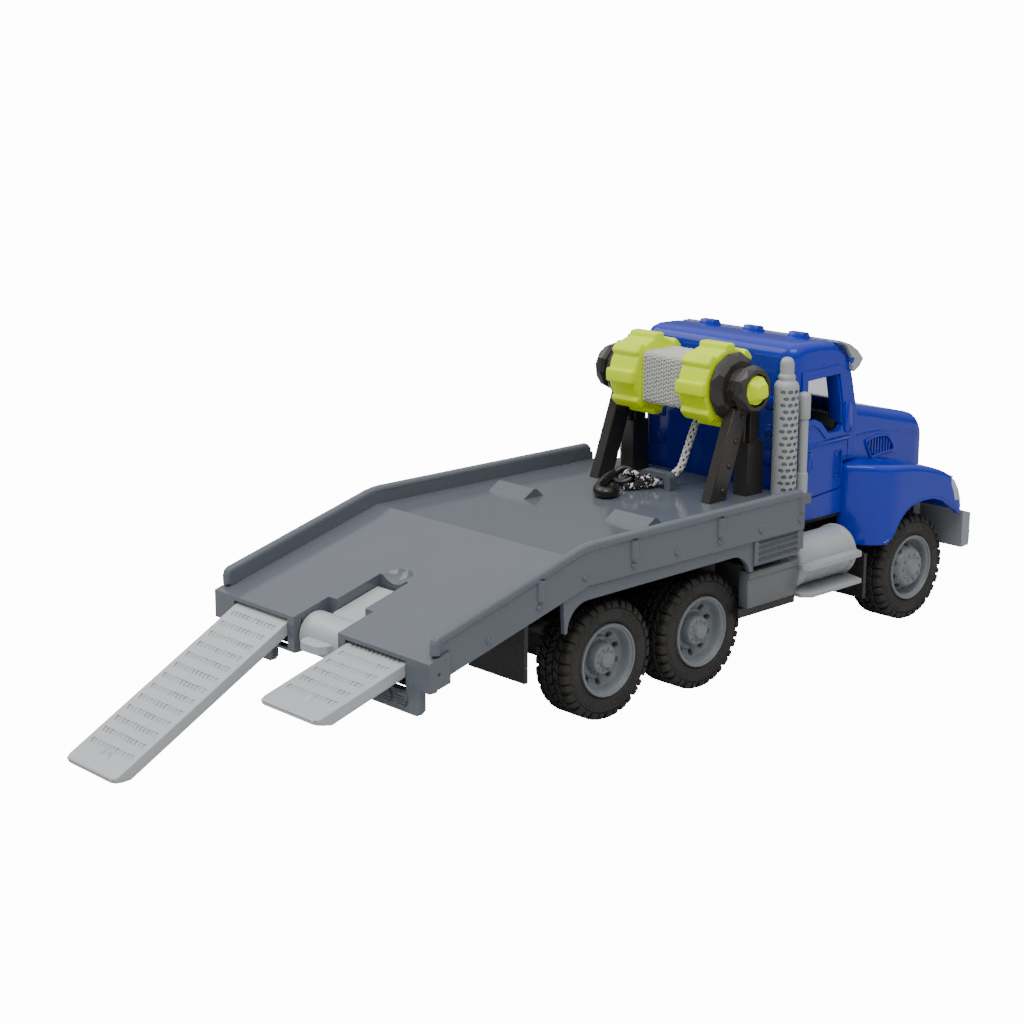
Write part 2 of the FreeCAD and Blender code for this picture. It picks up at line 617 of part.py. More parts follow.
# ---- wheels --------------------------------------------------------------------------------------
def tyre(x):
    points = [(RIM_R, TYRE_IN), (WHEEL_R - 2.2, TYRE_IN), (WHEEL_R, TYRE_IN + 1.6)]
    for y in (TYRE_IN + 4.8, TYRE_OUT - 5.6):
        points += [(WHEEL_R, y), (WHEEL_R - 0.9, y + 0.1), (WHEEL_R - 0.9, y + 0.7), (WHEEL_R, y + 0.8)]
    points += [(WHEEL_R, TYRE_OUT - 1.6), (WHEEL_R - 2.2, TYRE_OUT), (WHEEL_R - 5.2, TYRE_OUT + 0.1),
               (RIM_R, TYRE_OUT - 0.6)]
    return turned_y(points, x, 20.0)


def rim(x, front):
    ring = [(RIM_R, TYRE_IN), (RIM_R, 44.7), (RIM_R - 1.0, 44.7), (RIM_R - 1.9, 43.4), (RIM_R - 2.4, 40.2)]
    if front:
        face = [(9.0, 40.6), (6.9, 44.2), (6.3, 45.2), (3.2, 45.4), (2.4, 46.2), (AXLE_R, 46.2)]
    else:
        face = [(9.2, 39.0), (6.3, 38.4), (5.6, 38.4), (4.6, 42.6), (3.5, 43.0), (3.2, 44.6), (AXLE_R, 44.8)]
    back = [(AXLE_R, 30.2), (4.0, 30.2), (4.0, 36.4), (RIM_R - 2.8, 36.4), (RIM_R - 2.0, TYRE_IN)]
    body = turned_y(ring + face + back, x, 20.0)
    tools = []
    for i in range(10):
        a = math.radians(18.0 + 36.0 * i)
        hx = x + 7.95 * math.cos(a)
        hz = 20.0 + 7.95 * math.sin(a)
        tools.append(rod_y(hx, hz, 0.8, 34.0, 45.0))
    return cut(body, tools)


# ---- cab -----------------------------------------------------------------------------------------
def cab_block(inset):
    """The cab's outer shape, or its inside when inset is the wall thickness."""
    k = inset
    side = slab_xz([(CAB_REAR + k, CAB_BOTTOM - 5), (CAB_REAR + k, 104.6 - k), (102.6 + k, 109.0 - k),
                    (106.0, 109.7 - k), (121.5, 108.6 - k), (126.4 - k, 106.6 - k), (130.6 - k, 102.4 - k),
                    (132.6 - k, 96.4 - k), (135.9 - k, 83.9), (136.2 - k, 75.0),
                    (136.2 - k, CAB_BOTTOM - 5)], -40.0, 40.0)
    y = CAB_Y - k
    half = [(y, CAB_BOTTOM - 5), (y, 104.4 - k * 0.4), (y - 0.6, 106.6 - k * 0.6), (y - 2.0, 108.4 - k * 0.8),
            (y - 4.2, 109.5 - k), (y - 7.0, 110.2 - k)]
    section = slab_yz(half + [(-a, b) for a, b in reversed(half)], 90.0, 145.0)
    return side.common(section)


def cab_shell():
    shell = cab_block(0.0).cut(cab_block(WALL))
    tools = [box(80.0, 150.0, -45.0, 45.0, 30.0, CAB_BOTTOM)]
    window = [(107.2, 81.6), (110.9, 81.5), (114.3, 79.9), (117.3, 77.7), (123.6, 76.8), (123.9, 81.8),
              (121.2, 87.6), (118.9, 96.9), (107.2, 96.9)]
    tools.append(slab_xz(window, -45.0, 45.0))
    # windscreen opening
    tools.append(slab_xz([(128.0, 98.6), (140.0, 98.6), (142.0, 85.2), (130.0, 85.2)], -31.0, 31.0))
    tools.append(box(133.0, 140.0, -33.0, 33.0, 46.0, 82.0))
    body = cut(shell, tools)
    body = body.cut(box(128.6, 140.0, -45.0, 45.0, 30.0, 64.6))
    # raised ledge along the belt line, hinges and handles stand 0.5 off the door
    trims = []
    for sign in (1, -1):
        y0, y1 = sorted((sign * 35.8, sign * 36.6))
        trims.append(box(CAB_REAR, 131.6, y0, y1, 71.6, 73.4))
        trims.append(box(125.0, 130.5, y0, y1, 78.5, 86.0))
    return fuse([body] + trims + roof_markers())


def roof_markers():
    solids = []
    for y in (-21.0, 0.0, 21.0):
        top = 110.4
        solids.append(slab_xz([(117.6, 108.95), (118.6, top + 0.4), (121.4, top + 0.2), (122.6, 108.2),
                               (121.5, 108.0), (117.6, 108.0)], y - 3.4, y + 3.4))
    return solids


def sun_visor():
    wing = [(123.8, 108.2), (128.2, 107.2), (133.4, 104.2), (136.5, 100.9), (134.2, 98.2), (131.4, 96.8),
            (130.4, 97.6), (129.7, 102.6), (126.5, 106.7), (123.8, 107.8)]
    side = slab_xz(wing, CAB_Y + 0.05, CAB_Y + 1.5)
    side = side.cut(rod_y(130.4, 101.0, 1.1, 30.0, 40.0))
    edge = CAB_Y + 0.05
    blade = slab_xz([(124.2, 108.6), (128.2, 107.4), (133.4, 104.4), (136.5, 101.1), (135.9, 100.4),
                     (132.9, 103.2), (128.0, 106.3), (126.4, 106.7), (124.0, 107.7)], -edge, edge)
    return fuse([blade, side, mirrored(side)])


def windscreen():
    pane = slab_xz([(130.4, 97.9), (131.5, 98.2), (135.3, 85.7), (134.2, 85.4)], -30.9, 30.9)
    return pane


def cab_interior():
    """Floor, bench seat and dashboard in one dark moulding."""
    y = CAB_Y - WALL - 0.1
    floor = box(CAB_REAR + WALL + 0.1, 128.4, -y, y, 43.5, 47.0)
    seat = slab_xz([(101.8, 47.0), (117.0, 47.0), (117.0, 58.0), (108.5, 59.0), (105.2, 79.0), (101.8, 79.0)],
                   -30.0, 30.0)
    dash = slab_xz([(125.5, 66.0), (132.6, 66.0), (132.6, 81.0), (127.6, 81.0), (125.5, 77.0)], -33.0, 33.0)
    post = box(124.6, 128.4, -10.0, 10.0, 47.0, 66.5)
    return cut(fuse([floor, seat, dash, post]), [steering_column(1.15, 9.0)])


def steering_column(r, length):
    return link(tuple(STEER), tuple(STEER - STEER_AXIS * length), r)


def steering_wheel():
    centre = STEER
    normal = STEER_AXIS
    ring = Part.makeTorus(6.6, 0.75, centre, normal)
    hub = Part.makeCylinder(1.9, 1.6, centre - normal * 0.8, normal)
    spokes = []
    for a in (90.0, 210.0, 330.0):
        side = V(0, 1, 0) * math.cos(math.radians(a)) + V(0.53, 0, 0.85) * math.sin(math.radians(a))
        spokes.append(Part.makeCylinder(0.7, 6.4, centre, side))
    return fuse([ring, hub, steering_column(1.1, 8.0)] + spokes)


def hood_section(x, half, top, corner, bottom):
    points = [(half, bottom), (half, top - corner)]
    points += arc(half - corner, top - corner, corner, 0.0, 90.0, 6)[1:]
    full = points + [(-y, z) for y, z in reversed(points)]
    wire = [V(x, y, z) for y, z in full]
    return Part.makePolygon(wire + [wire[0]])


def hood():
    outer = loft([hood_section(136.2, 35.4, 84.0, 4.5, 45.0), hood_section(160.0, 34.2, 78.7, 4.8, 45.0),
                  hood_section(176.4, 33.4, 75.1, 5.2, 45.0), hood_section(180.4, 32.8, 72.6, 6.0, 45.0)])
    inner = loft([hood_section(134.0, 33.4, 82.2, 4.5, 40.0), hood_section(160.0, 32.2, 76.7, 4.8, 40.0),
                  hood_section(175.0, 31.4, 73.4, 5.2, 40.0), hood_section(178.4, 30.8, 71.2, 6.0, 40.0)])
    body = outer.cut(inner)
    grille_hole = box(176.0, 182.0, -24.0, 24.0, 47.0, 66.0)
    vents = []
    for sign in (1, -1):
        for i in range(7):
            x = 145.6 + 2.0 * i
            y0, y1 = sorted((sign * 32.4, sign * 36.0))
            vents.append(slab_xz([(x, 69.5 - 0.35 * i), (x + 1.0, 69.4 - 0.35 * i), (x + 1.4, 64.0 - 0.2 * i),
                                  (x + 0.4, 64.1 - 0.2 * i)], y0, y1))
    return cut(body, [grille_hole] + vents)


def grille():
    frame = cut(box(177.6, 181.0, -24.0, 24.0, 47.0, 66.0), [box(177.0, 182.0, -22.0, 22.0, 49.0, 64.0)])
    bars = [box(178.2, 180.2, -23.0, 23.0, z, z + 1.3) for z in (50.6, 53.4, 56.2, 59.0, 61.8)]
    ribs = [box(178.0, 179.4, y, y + 1.2, 48.0, 65.0) for y in (-11.6, -0.6, 10.4)]
    return fuse([frame] + bars + ribs)


def fender_block():
    """The left front wing before the lamp is taken out of it."""
    arch_points = arc(162.3, 22.2, 24.6, 152.0, 39.0, 16)
    top = [(185.1, 37.2), (185.0, 40.0), (184.2, 44.6), (182.2, 49.6), (179.4, 53.8), (174.8, 56.4),
           (165.0, 60.2), (155.0, 62.6), (146.0, 63.8), (134.0, 64.5), (128.6, 64.6)]
    side = slab_xz([(128.6, 40.4), (131.6, 33.3), (139.4, 33.3)] + arch_points + top, 31.0, 51.0)
    plan = slab_xy([(128.6, 33.0), (128.6, 36.1), (130.4, 39.2), (133.6, 43.6), (137.2, 47.2), (140.6, 49.3),
                    (144.0, 50.1), (183.4, 50.1), (184.7, 49.4), (185.3, 47.8), (185.3, 33.0)],
                   20.0, 80.0)
    section = slab_yz([(31.0, 20.0), (50.1, 20.0), (50.1, 54.0)] + arc(43.1, 57.0, 7.0, 0.0, 90.0, 7)
                      + [(38.0, 66.0), (31.0, 66.0)], 120.0, 190.0)
    body = side.common(plan).common(section)
    inside = slab_xy([(133.0, 30.0), (133.0, 37.0), (136.5, 42.5), (141.0, 46.0), (182.0, 46.0),
                      (182.0, 30.0)], 30.0, 52.5)
    inside = cut(inside, [box(160.0, 190.0, 30.0, 50.0, 49.5, 60.0)])
    body = cut(body, [inside])
    return body.cut(hood_cover())


def hood_cover():
    return loft([hood_section(128.0, 35.95, 86.0, 4.5, 20.0), hood_section(136.2, 35.4, 84.0, 4.5, 20.0),
                 hood_section(160.0, 34.2, 78.7, 4.8, 20.0), hood_section(176.4, 33.4, 75.1, 5.2, 20.0),
                 hood_section(180.4, 32.8, 72.6, 6.0, 20.0), hood_section(190.0, 31.8, 66.0, 6.0, 20.0)])


def fender():
    return cut(fender_block(), [box(*LAMP)])


def headlight():
    lens = fender_block().common(box(*LAMP))
    back = box(LAMP[0], 180.6, 39.0, 45.8, 44.4, 52.4)
    return fuse([lens, back])


def front_bumper():
    side = slab_xz([(183.7, 24.2), (190.2, 24.6), (191.8, 36.0), (190.8, 37.2), (183.7, 39.4)], -52.0, 52.0)
    plan = slab_xy([(183.7, -29.0), (185.6, -30.5), (185.6, -50.0), (190.6, -50.0), (191.8, -48.6),
                    (191.8, 48.6), (190.6, 50.0), (185.6, 50.0), (185.6, 30.5), (183.7, 29.0)], 20.0, 45.0)
    return side.common(plan)


def exhaust_stack():
    x = 95.0
    y = 36.5
    body = rod_z(x, y, 4.4, DECK_Z, 96.4)
    shoulder = Part.makeCone(4.4, 3.2, 1.4, V(x, y, 96.4))
    neck = rod_z(x, y, 3.0, 97.8, 99.6)
    pipe = rod_z(x, y, 2.55, 99.6, 103.6)
    return fuse([body, shoulder, neck, pipe, ball(x, y, 103.6, 2.6)])


def stack_bracket():
    return slab_xy([(FRONT_X, 31.5), (99.3, 31.5), (99.3, 36.2), (105.2, 36.2), (105.2, 41.0),
                    (FRONT_X, 41.0)], 53.6, 57.4)


def air_pipe():
    x = 102.4
    y = 38.6
    parts = [rod_z(x, y, 1.7, 57.4, 90.0), rod_z(x, y, 2.1, 57.4, 64.8), rod_z(x, y, 2.3, 83.8, 92.0),
             ball(x, y, 91.2, 2.2)]
    return fuse(parts)


# ---- export --------------------------------------------------------------------------------------
def save(name, shape):
    shape = shape.copy()
    shape.translate(V(SHIFT_X, 0, 0))
    solids = shape.Solids
    bad = [s for s in solids if not s.isValid() or not s.isClosed()]
    shape = solids[0] if len(solids) == 1 else Part.makeCompound(solids)
    shape.exportStep("parts/" + name + ".step")
    b = shape.BoundBox
    print("%-24s solids %2d bad %d vol %9.1f  x %7.1f %7.1f y %6.1f %6.1f z %6.1f %6.1f" % (
        name, len(solids), len(bad), shape.Volume, b.XMin, b.XMax, b.YMin, b.YMax, b.ZMin, b.ZMax))


def save_both(name, shape):
    """The left piece and its mirror image as two solids in one node."""
    save(name, group([shape, mirrored(shape)]))


def save_pair(name, shape):
    save(name + "_left", shape)
    save(name + "_right", mirrored(shape))


def main():
    os.makedirs("parts", exist_ok=True)
    save("chassis_frame", chassis_frame())
    save("chassis_screws", chassis_screws())
    save("flatbed_deck", flatbed_deck())
    save("bed_floor", bed_floor())
    save_pair("side_rail", side_rail())
    save_pair("side_panel", side_panel())
    save_pair("toolbox", toolbox())
    save_pair("fuel_tank_step", fuel_tank())
    save_both("front_mudflaps", front_mudflap())
    save_both("rear_mudflaps", rear_mudflap())
    save("tail_lamps", tail_lamps())
    save("rope_guide", rope_guide())
    save_pair("winch_frame", winch_frame())
    save_both("winch_bearings", winch_bearing())
    save_pair("spool_wheel", spool_wheel())
    save("spool_core", spool_core())
    save("wound_rope", wound_rope())
    save("winch_rope", winch_rope())
    save("rope_knot", rope_knot())
    save("tow_hook", tow_hook())
    save("tow_arm", tow_arm())
    save("arm_pin", arm_pin())
    save("ramp_left", ramp("left", 0.0, LEFT_TILT))
    save("ramp_right", ramp("right", RIGHT_IN, RIGHT_TILT))
    save("ramp_pin_left", ramp_pin("left", 0.0))
    save("ramp_pin_right", ramp_pin("right", RIGHT_IN))
    for name, x in AXLES.items():
        save("axle_" + name, rod_y(x, 20.0, AXLE_R, -AXLE_Y, AXLE_Y))
        save_pair("tyre_" + name, tyre(x))
        save_pair("rim_" + name, rim(x, name == "front"))
    save("cab_shell", cab_shell())
    save("sun_visor", sun_visor())
    save("windscreen", windscreen())
    save("cab_interior", cab_interior())
    save("steering_wheel", steering_wheel())
    save("hood_and_fenders", fuse([hood(), fender(), mirrored(fender())]))
    save("grille", grille())
    save_both("headlights", headlight())
    save("front_bumper", front_bumper())
    save_pair("exhaust_stack", exhaust_stack())
    save_both("air_pipes", air_pipe())


main()
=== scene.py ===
import json
from math import atan, cos, pi, radians, sin, sqrt

import bmesh
import bpy
from mathutils import Matrix, Vector


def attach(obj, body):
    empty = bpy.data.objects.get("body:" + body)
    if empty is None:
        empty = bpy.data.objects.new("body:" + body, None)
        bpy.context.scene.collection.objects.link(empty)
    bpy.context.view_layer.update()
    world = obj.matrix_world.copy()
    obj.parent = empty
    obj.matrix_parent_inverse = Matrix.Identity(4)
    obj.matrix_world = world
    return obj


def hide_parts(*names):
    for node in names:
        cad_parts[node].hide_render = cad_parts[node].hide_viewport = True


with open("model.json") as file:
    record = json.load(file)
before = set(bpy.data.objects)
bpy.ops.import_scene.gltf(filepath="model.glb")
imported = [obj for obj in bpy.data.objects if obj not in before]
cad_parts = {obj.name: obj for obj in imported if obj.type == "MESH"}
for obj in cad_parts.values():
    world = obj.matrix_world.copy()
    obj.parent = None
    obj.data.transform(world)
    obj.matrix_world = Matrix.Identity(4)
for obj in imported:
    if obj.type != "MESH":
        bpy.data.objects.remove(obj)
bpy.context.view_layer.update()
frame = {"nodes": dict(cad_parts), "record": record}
nodes = frame["nodes"]

# Lengths below are millimetres in the frame of the design: x = 0 at the rearmost axle, y = 0 at the
# mid-plane and z = 0 on the ground. TO_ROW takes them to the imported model's frame, in metres.
SHIFT_X = -22.0
TO_ROW = Matrix.Scale(0.001, 4) @ Matrix.Translation((SHIFT_X, 0.0, 0.0))

AXLES = {"rear": 0.0, "middle": 44.7, "front": 161.7}
HUB_X, HUB_Z = 81.0, 96.0
BED_Z = 57.7             # top of the flat deck
AXLE_Z = 20.0            # height of every axle
SIDES = ((1, "left"), (-1, "right"))

# The rope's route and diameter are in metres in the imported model's frame, as the cord's facts are.
ROPE = [(0.0636, -0.0042, 0.0814), (0.0600, -0.0039, 0.0731), (0.0543, -0.0034, 0.0595),
        (0.0419, 0.0030, 0.0599)]
ROPE_D = 0.003
# The braid that covers it, and the black tube inside it that stands for painted shade between its strands, in
# millimetres.
STRANDS_EACH_WAY = 3
TURNS_PER_MM = 0.115
STRAND_R, SHADE_CORE_R = 0.47, 0.86


# ---- materials ----
GLOSS_SPREAD = 0.06
GRAIN_DEPTH = 0.0001     # metres


def shade(rgb, factor):
    return (*(min(1.0, c * factor) for c in rgb), 1.0)


def put(node, values):
    """Sets a shader node's inputs to constants."""
    for name, value in values.items():
        node.inputs[name].default_value = value


def noise(tree, coord, scale, detail):
    texture = tree.nodes.new("ShaderNodeTexNoise")
    put(texture, {"Scale": scale, "Detail": detail})
    tree.links.new(coord, texture.inputs["Vector"])
    return texture.outputs["Fac"]


def map_range(tree, value, ends):
    node = tree.nodes.new("ShaderNodeMapRange")
    put(node, ends)
    tree.links.new(value, node.inputs["Value"])
    return node


def mixed(tree, factor, *colours):
    """A blend of two colours, each given as a value or as a socket."""
    mix = tree.nodes.new("ShaderNodeMix")
    mix.data_type = "RGBA"
    tree.links.new(factor, mix.inputs["Factor"])
    for key, colour in zip("AB", colours):
        if isinstance(colour, tuple):
            mix.inputs[key].default_value = colour
        else:
            tree.links.new(colour, mix.inputs[key])
    return mix.outputs["Result"]


def material(name, rgb, rough=0.4, grain=0.0, grain_size=900.0, vary=0.06, coat=0.0, metallic=0.0,
             specular=0.5, hollow=None, edge_radius=0.3):
    """Faint colour drift, uneven gloss and a fine grain. A hollow colour is painted shade: it darkens the
    creases of the mesh.
    """
    mat = bpy.data.materials.new(name)
    mat.use_nodes = True
    tree = mat.node_tree
    bsdf = tree.nodes["Principled BSDF"]
    link = tree.links.new
    coord = tree.nodes.new("ShaderNodeTexCoord").outputs["Object"]
    colour = mixed(tree, noise(tree, coord, 35.0, 3.0), shade(rgb, 1.0 - vary), shade(rgb, 1.0 + vary))
    # painted shade: where the mesh is creased (low pointiness) the colour turns to the hollow colour
    if hollow:
        pointiness = tree.nodes.new("ShaderNodeNewGeometry").outputs["Pointiness"]
        crease_shade_mask = map_range(tree, pointiness, {"From Min": 0.50, "From Max": 0.44})
        colour = mixed(tree, crease_shade_mask.outputs["Result"], colour, (*hollow, 1.0))
    link(colour, bsdf.inputs["Base Color"])
    gloss = map_range(tree, noise(tree, coord, 140.0, 4.0),
                      {"To Min": max(0.02, rough - GLOSS_SPREAD), "To Max": rough + GLOSS_SPREAD})
    link(gloss.outputs["Result"], bsdf.inputs["Roughness"])
    normal = None
    if edge_radius:
        rounded = tree.nodes.new("ShaderNodeBevel")
        rounded.samples = 4
        put(rounded, {"Radius": edge_radius / 1000})
        normal = rounded.outputs["Normal"]
    if grain:
        bump = tree.nodes.new("ShaderNodeBump")
        put(bump, {"Strength": grain, "Distance": GRAIN_DEPTH})
        link(noise(tree, coord, grain_size, 2.0), bump.inputs["Height"])
        if normal:
            link(normal, bump.inputs["Normal"])
        normal = bump.outputs["Normal"]
    if normal:
        link(normal, bsdf.inputs["Normal"])
    put(bsdf, {"Metallic": metallic, "Specular IOR Level": specular,
               "Coat Weight": coat, "Coat Roughness": 0.05})
    return mat


def surface(mat):
    return mat.node_tree.nodes["Principled BSDF"]


DECK = material("deck_grey_plastic", (0.118, 0.132, 0.156), 0.12, 0.03)
SIDE = material("side_grey_plastic", (0.125, 0.140, 0.165), 0.34, 0.10, specular=0.4)
TRIM = material("trim_grey_plastic", (0.40, 0.42, 0.43), 0.34, 0.14)
RAMP = material("ramp_grey_plastic", (0.45, 0.475, 0.49), 0.32, 0.12, coat=0.1)
BUMPER = material("bumper_grey_plastic", (0.30, 0.32, 0.34), 0.36, 0.14)
FRAME = material("frame_black_plastic", (0.020, 0.019, 0.018), 0.42, 0.2)
WINCH = material("winch_black_plastic", (0.034, 0.030, 0.027), 0.30, 0.12, edge_radius=0.12)
NEON = material("neon_plastic", (0.74, 0.98, 0.0), 0.30, 0.08, vary=0.03, specular=0.2, edge_radius=0.15)
BLUE = material("cab_blue_plastic", (0.008, 0.026, 0.44), 0.12, 0.04, vary=0.04, specular=0.4)
TYRE = material("tyre_rubber", (0.028, 0.026, 0.024), 0.60, 0.35, 700.0, vary=0.15)
RIM = material("rim_grey_plastic", (0.215, 0.235, 0.250), 0.36, 0.12)
DARK = material("interior_dark_plastic", (0.030, 0.032, 0.036), 0.55, 0.25)
HOOK = material("hook_black_plastic", (0.010, 0.010, 0.010), 0.26, 0.08)
STEEL = material("screw_steel", (0.45, 0.45, 0.46), 0.32, 0.0, metallic=1.0)
# hollow: painted shade, near black in the creases between the rope's strands
ROPE_WHITE = material("rope_white_yarn", (0.80, 0.80, 0.78), 0.75, 0.5, 2600.0, vary=0.12,
                      hollow=(0.10, 0.10, 0.10), edge_radius=0.0)
ROPE_BLACK = material("rope_black_yarn", (0.012, 0.012, 0.013), 0.60, 0.5, 2600.0, vary=0.2, edge_radius=0.0)
# hollow: painted shade, near black in the grooves between the wound turns and strands
WINDING = material("winding_yarn", (0.66, 0.66, 0.63), 0.78, 0.5, 2600.0, vary=0.10,
                   hollow=(0.10, 0.10, 0.09), edge_radius=0.0)
BOX = material("toolbox_grey_plastic", (0.150, 0.160, 0.168), 0.38, 0.16)
GRILLE = material("grille_dark_plastic", (0.035, 0.037, 0.040), 0.35, 0.15)

# painted light: the neon plastic is given a faint glow of its own colour, so that it looks brighter
put(surface(NEON), {"Emission Color": (0.75, 1.0, 0.0, 1.0), "Emission Strength": 0.05})


def clear(name, rgb, rough, transmission):
    mat = material(name, rgb, rough, vary=0.02)
    put(surface(mat), {"Transmission Weight": transmission, "IOR": 1.45})
    return mat


GLASS = clear("windscreen_clear", (0.92, 0.95, 0.98), 0.06, 1.0)
LENS = clear("headlight_clear", (0.86, 0.90, 0.95), 0.12, 0.55)

SLOT_LOOKS = {
    "bed_grey": DECK, "frame_black": FRAME, "screw_steel": STEEL, "trim_grey": TRIM, "bumper_grey": BUMPER,
    "ramp_grey": RAMP, "winch_black": WINCH, "winch_neon": NEON, "rope_white": ROPE_WHITE,
    "hook_black": HOOK, "tyre_black": TYRE, "rim_grey": RIM, "cab_blue": BLUE, "clear": GLASS,
    "interior_dark": DARK, "grille_dark": GRILLE,
}


# ---- mesh tools ----
def skin(bm, rows):
    """A closed body through rows of points that each go once round it."""
    rings = [[bm.verts.new(p) for p in row] for row in rows]
    count = len(rings[0])
    for a, b in zip(rings, rings[1:]):
        for i in range(count):
            j = (i + 1) % count
            bm.faces.new((a[i], a[j], b[j], b[i]))
    bm.faces.new(tuple(reversed(rings[0])))
    bm.faces.new(tuple(rings[-1]))


def axis_point(axis, t, a, b):
    """The point t along an axis and (a, b) in the plane across it ('x': y,z; 'y': x,z; 'z': x,y)."""
    return {"x": (t, a, b), "y": (a, t, b), "z": (a, b, t)}[axis]


def circle(r, sides):
    """Points spaced evenly round a circle, as pairs."""
    return [(r * cos(a), r * sin(a)) for a in (2 * pi * i / sides for i in range(sides))]


def prism(bm, points, axis, low, high):
    """An outline in the plane across an axis, drawn out along it."""
    skin(bm, [[axis_point(axis, t, a, b) for a, b in points] for t in (low, high)])


def block(bm, x0, x1, y0, y1, z0, z1):
    prism(bm, [(x0, y0), (x1, y0), (x1, y1), (x0, y1)], "z", z0, z1)


def turned(bm, profile, centre, axis="y", sides=64, closed=False):
    """A surface of revolution. The profile is (radius, place along the axis); a zero radius closes it."""
    ca, cb = [c for key, c in zip("xyz", centre) if key != axis]
    rings = []
    for r, t in profile:
        spots = circle(r, sides) if r else [(0.0, 0.0)]
        rings.append([bm.verts.new(axis_point(axis, t, ca + u, cb + v)) for u, v in spots])
    if closed:
        rings.append(rings[0])
    for a, b in zip(rings, rings[1:]):
        for i in range(sides):
            j = (i + 1) % sides
            corners = [a[i % len(a)], a[j % len(a)], b[j % len(b)], b[i % len(b)]]
            unique = list(dict.fromkeys(corners))
            if len(unique) > 2:
                bm.faces.new(unique)


def rod(bm, centre, radius, axis, low, high, sides=24):
    turned(bm, [(0.0, low), (radius, low), (radius, high), (0.0, high)], centre, axis, sides)


def dome(bm, x, y, z, r, height, sides=12):
    """A small rounded stud that points along +Y."""
    turned(bm, [(r, y - 0.2), (r, y + height * 0.35), (r * 0.8, y + height * 0.8), (r * 0.45, y + height),
                (0.0, y + height)], (x, 0, z), "y", sides)


def frames_along(points):
    """(point, side, up) at each point, turned as little as possible from one to the next."""
    points = [Vector(p) for p in points]
    rows = []
    side = None
    for i, p in enumerate(points):
        along = (points[min(i + 1, len(points) - 1)] - points[max(i - 1, 0)]).normalized()
        if side is None:
            side = along.orthogonal().normalized()
        side = (side - along * side.dot(along)).normalized()
        rows.append((p, side, along.cross(side)))
    return rows


def tube(bm, points, radius, sides=12):
    """A round tube. The radius may be one number, or one for each point."""
    rings = []
    for i, (p, side, up) in enumerate(frames_along(points)):
        r = radius[i] if isinstance(radius, list) else radius
        rings.append([p + side * u + up * v for u, v in circle(r, sides)])
    skin(bm, rings)


def arc(cx, cy, r, a0, a1, steps):
    angles = [radians(a0 + (a1 - a0) * i / steps) for i in range(steps + 1)]
    return [(cx + r * cos(a), cy + r * sin(a)) for a in angles]


def smooth_path(points, steps=8):
    """A Catmull-Rom line through the points."""
    points = [Vector(p) for p in points]
    ends = [points[0] * 2 - points[1]] + points + [points[-1] * 2 - points[-2]]
    line = []
    for i in range(1, len(ends) - 2):
        a, b, c, d = ends[i - 1:i + 3]
        for k in range(steps):
            t = k / steps
            line.append(0.5 * ((2 * b) + (c - a) * t + (2 * a - 5 * b + 4 * c - d) * t * t
                               + (3 * b - a - 3 * c + d) * t ** 3))
    return line + [points[-1]]


def shade_edges(mesh, angle):
    """Smooth shading, with the edges sharper than the angle kept crisp."""
    mesh.polygons.foreach_set("use_smooth", [True] * len(mesh.polygons))
    mesh.set_sharp_from_angle(angle=radians(angle))


def weld_and_flatten(obj, weld=True, flatten=True):
    """Joins doubled vertices and merges faces that lie in one plane."""
    if weld:
        obj.modifiers.new("weld", "WELD").merge_threshold = 2e-6
    if flatten:
        flat = obj.modifiers.new("flatten", "DECIMATE")
        flat.decimate_type = "DISSOLVE"
        flat.angle_limit = radians(0.6)


def bevelled(obj, width, segments=2, angle=30.0, **before):
    """Rounds the edges of a piece, as moulded plastic is rounded. The width is in millimetres."""
    weld_and_flatten(obj, **before)
    bevel = obj.modifiers.new("bevel", "BEVEL")
    bevel.width = width / 1000
    bevel.segments = segments
    bevel.limit_method = "ANGLE"
    bevel.angle_limit = radians(angle)
    bevel.use_clamp_overlap = False
    bevel.harden_normals = True
    bevel.miter_outer = "MITER_ARC"
    return settle(obj)


def linked(name, data):
    obj = bpy.data.objects.new(name, data)
    bpy.context.scene.collection.objects.link(obj)
    return obj


def new_object(name, bm, mat, smooth=None):
    """A piece from geometry in the design frame. Edges sharper than the smooth angle are kept crisp."""
    bm.normal_update()
    bmesh.ops.recalc_face_normals(bm, faces=bm.faces)
    mesh = bpy.data.meshes.new(name)
    bm.to_mesh(mesh)
    bm.free()
    mesh.transform(TO_ROW)
    mesh.materials.append(mat)
    if smooth:
        shade_edges(mesh, smooth)
    return linked(name, mesh)


def settle(obj):
    """Applies the piece's modifiers, so that its mesh is what shows."""
    graph = bpy.context.evaluated_depsgraph_get()
    mesh = bpy.data.meshes.new_from_object(obj.evaluated_get(graph))
    obj.modifiers.clear()
    obj.data = mesh
    return obj


def soften(piece, angle=35.0):
    """Smooth shading that keeps flat panels flat."""
    shade_edges(piece.data, angle)
    weighted = piece.modifiers.new("weighted", "WEIGHTED_NORMAL")
    weighted.keep_sharp = True
    return settle(piece)


def carve(obj, cutter, operation="DIFFERENCE"):
    """Cuts one closed shape out of a piece, or adds it."""
    tool = new_object("tool", cutter, obj.data.materials[0])
    change = obj.modifiers.new("carve", "BOOLEAN")
    change.operation = operation
    change.solver = "EXACT"
    change.object = tool
    settle(obj)
    bpy.data.objects.remove(tool)


def shape(make, *args):
    """A new mesh that holds one shape."""
    bm = bmesh.new()
    make(bm, *args)
    return bm


def cut(obj, make, *args):
    carve(obj, shape(make, *args))


def add(obj, make, *args):
    carve(obj, shape(make, *args), "UNION")


def place(obj, body, slot, *stands_for):
    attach(obj, body)
    if stands_for:
        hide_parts(*stands_for)
    return obj


def mirror_piece(obj, name):
    """The same piece on the other side of the mid-plane."""
    mesh = obj.data.copy()
    mesh.transform(Matrix.Scale(-1.0, 4, (0.0, 1.0, 0.0)))
    mesh.flip_normals()
    return linked(name, mesh)


def span(sign, a, b):
    """Two distances from the mid-plane as low and high y, on the side that the sign gives."""
    return sorted((sign * a, sign * b))


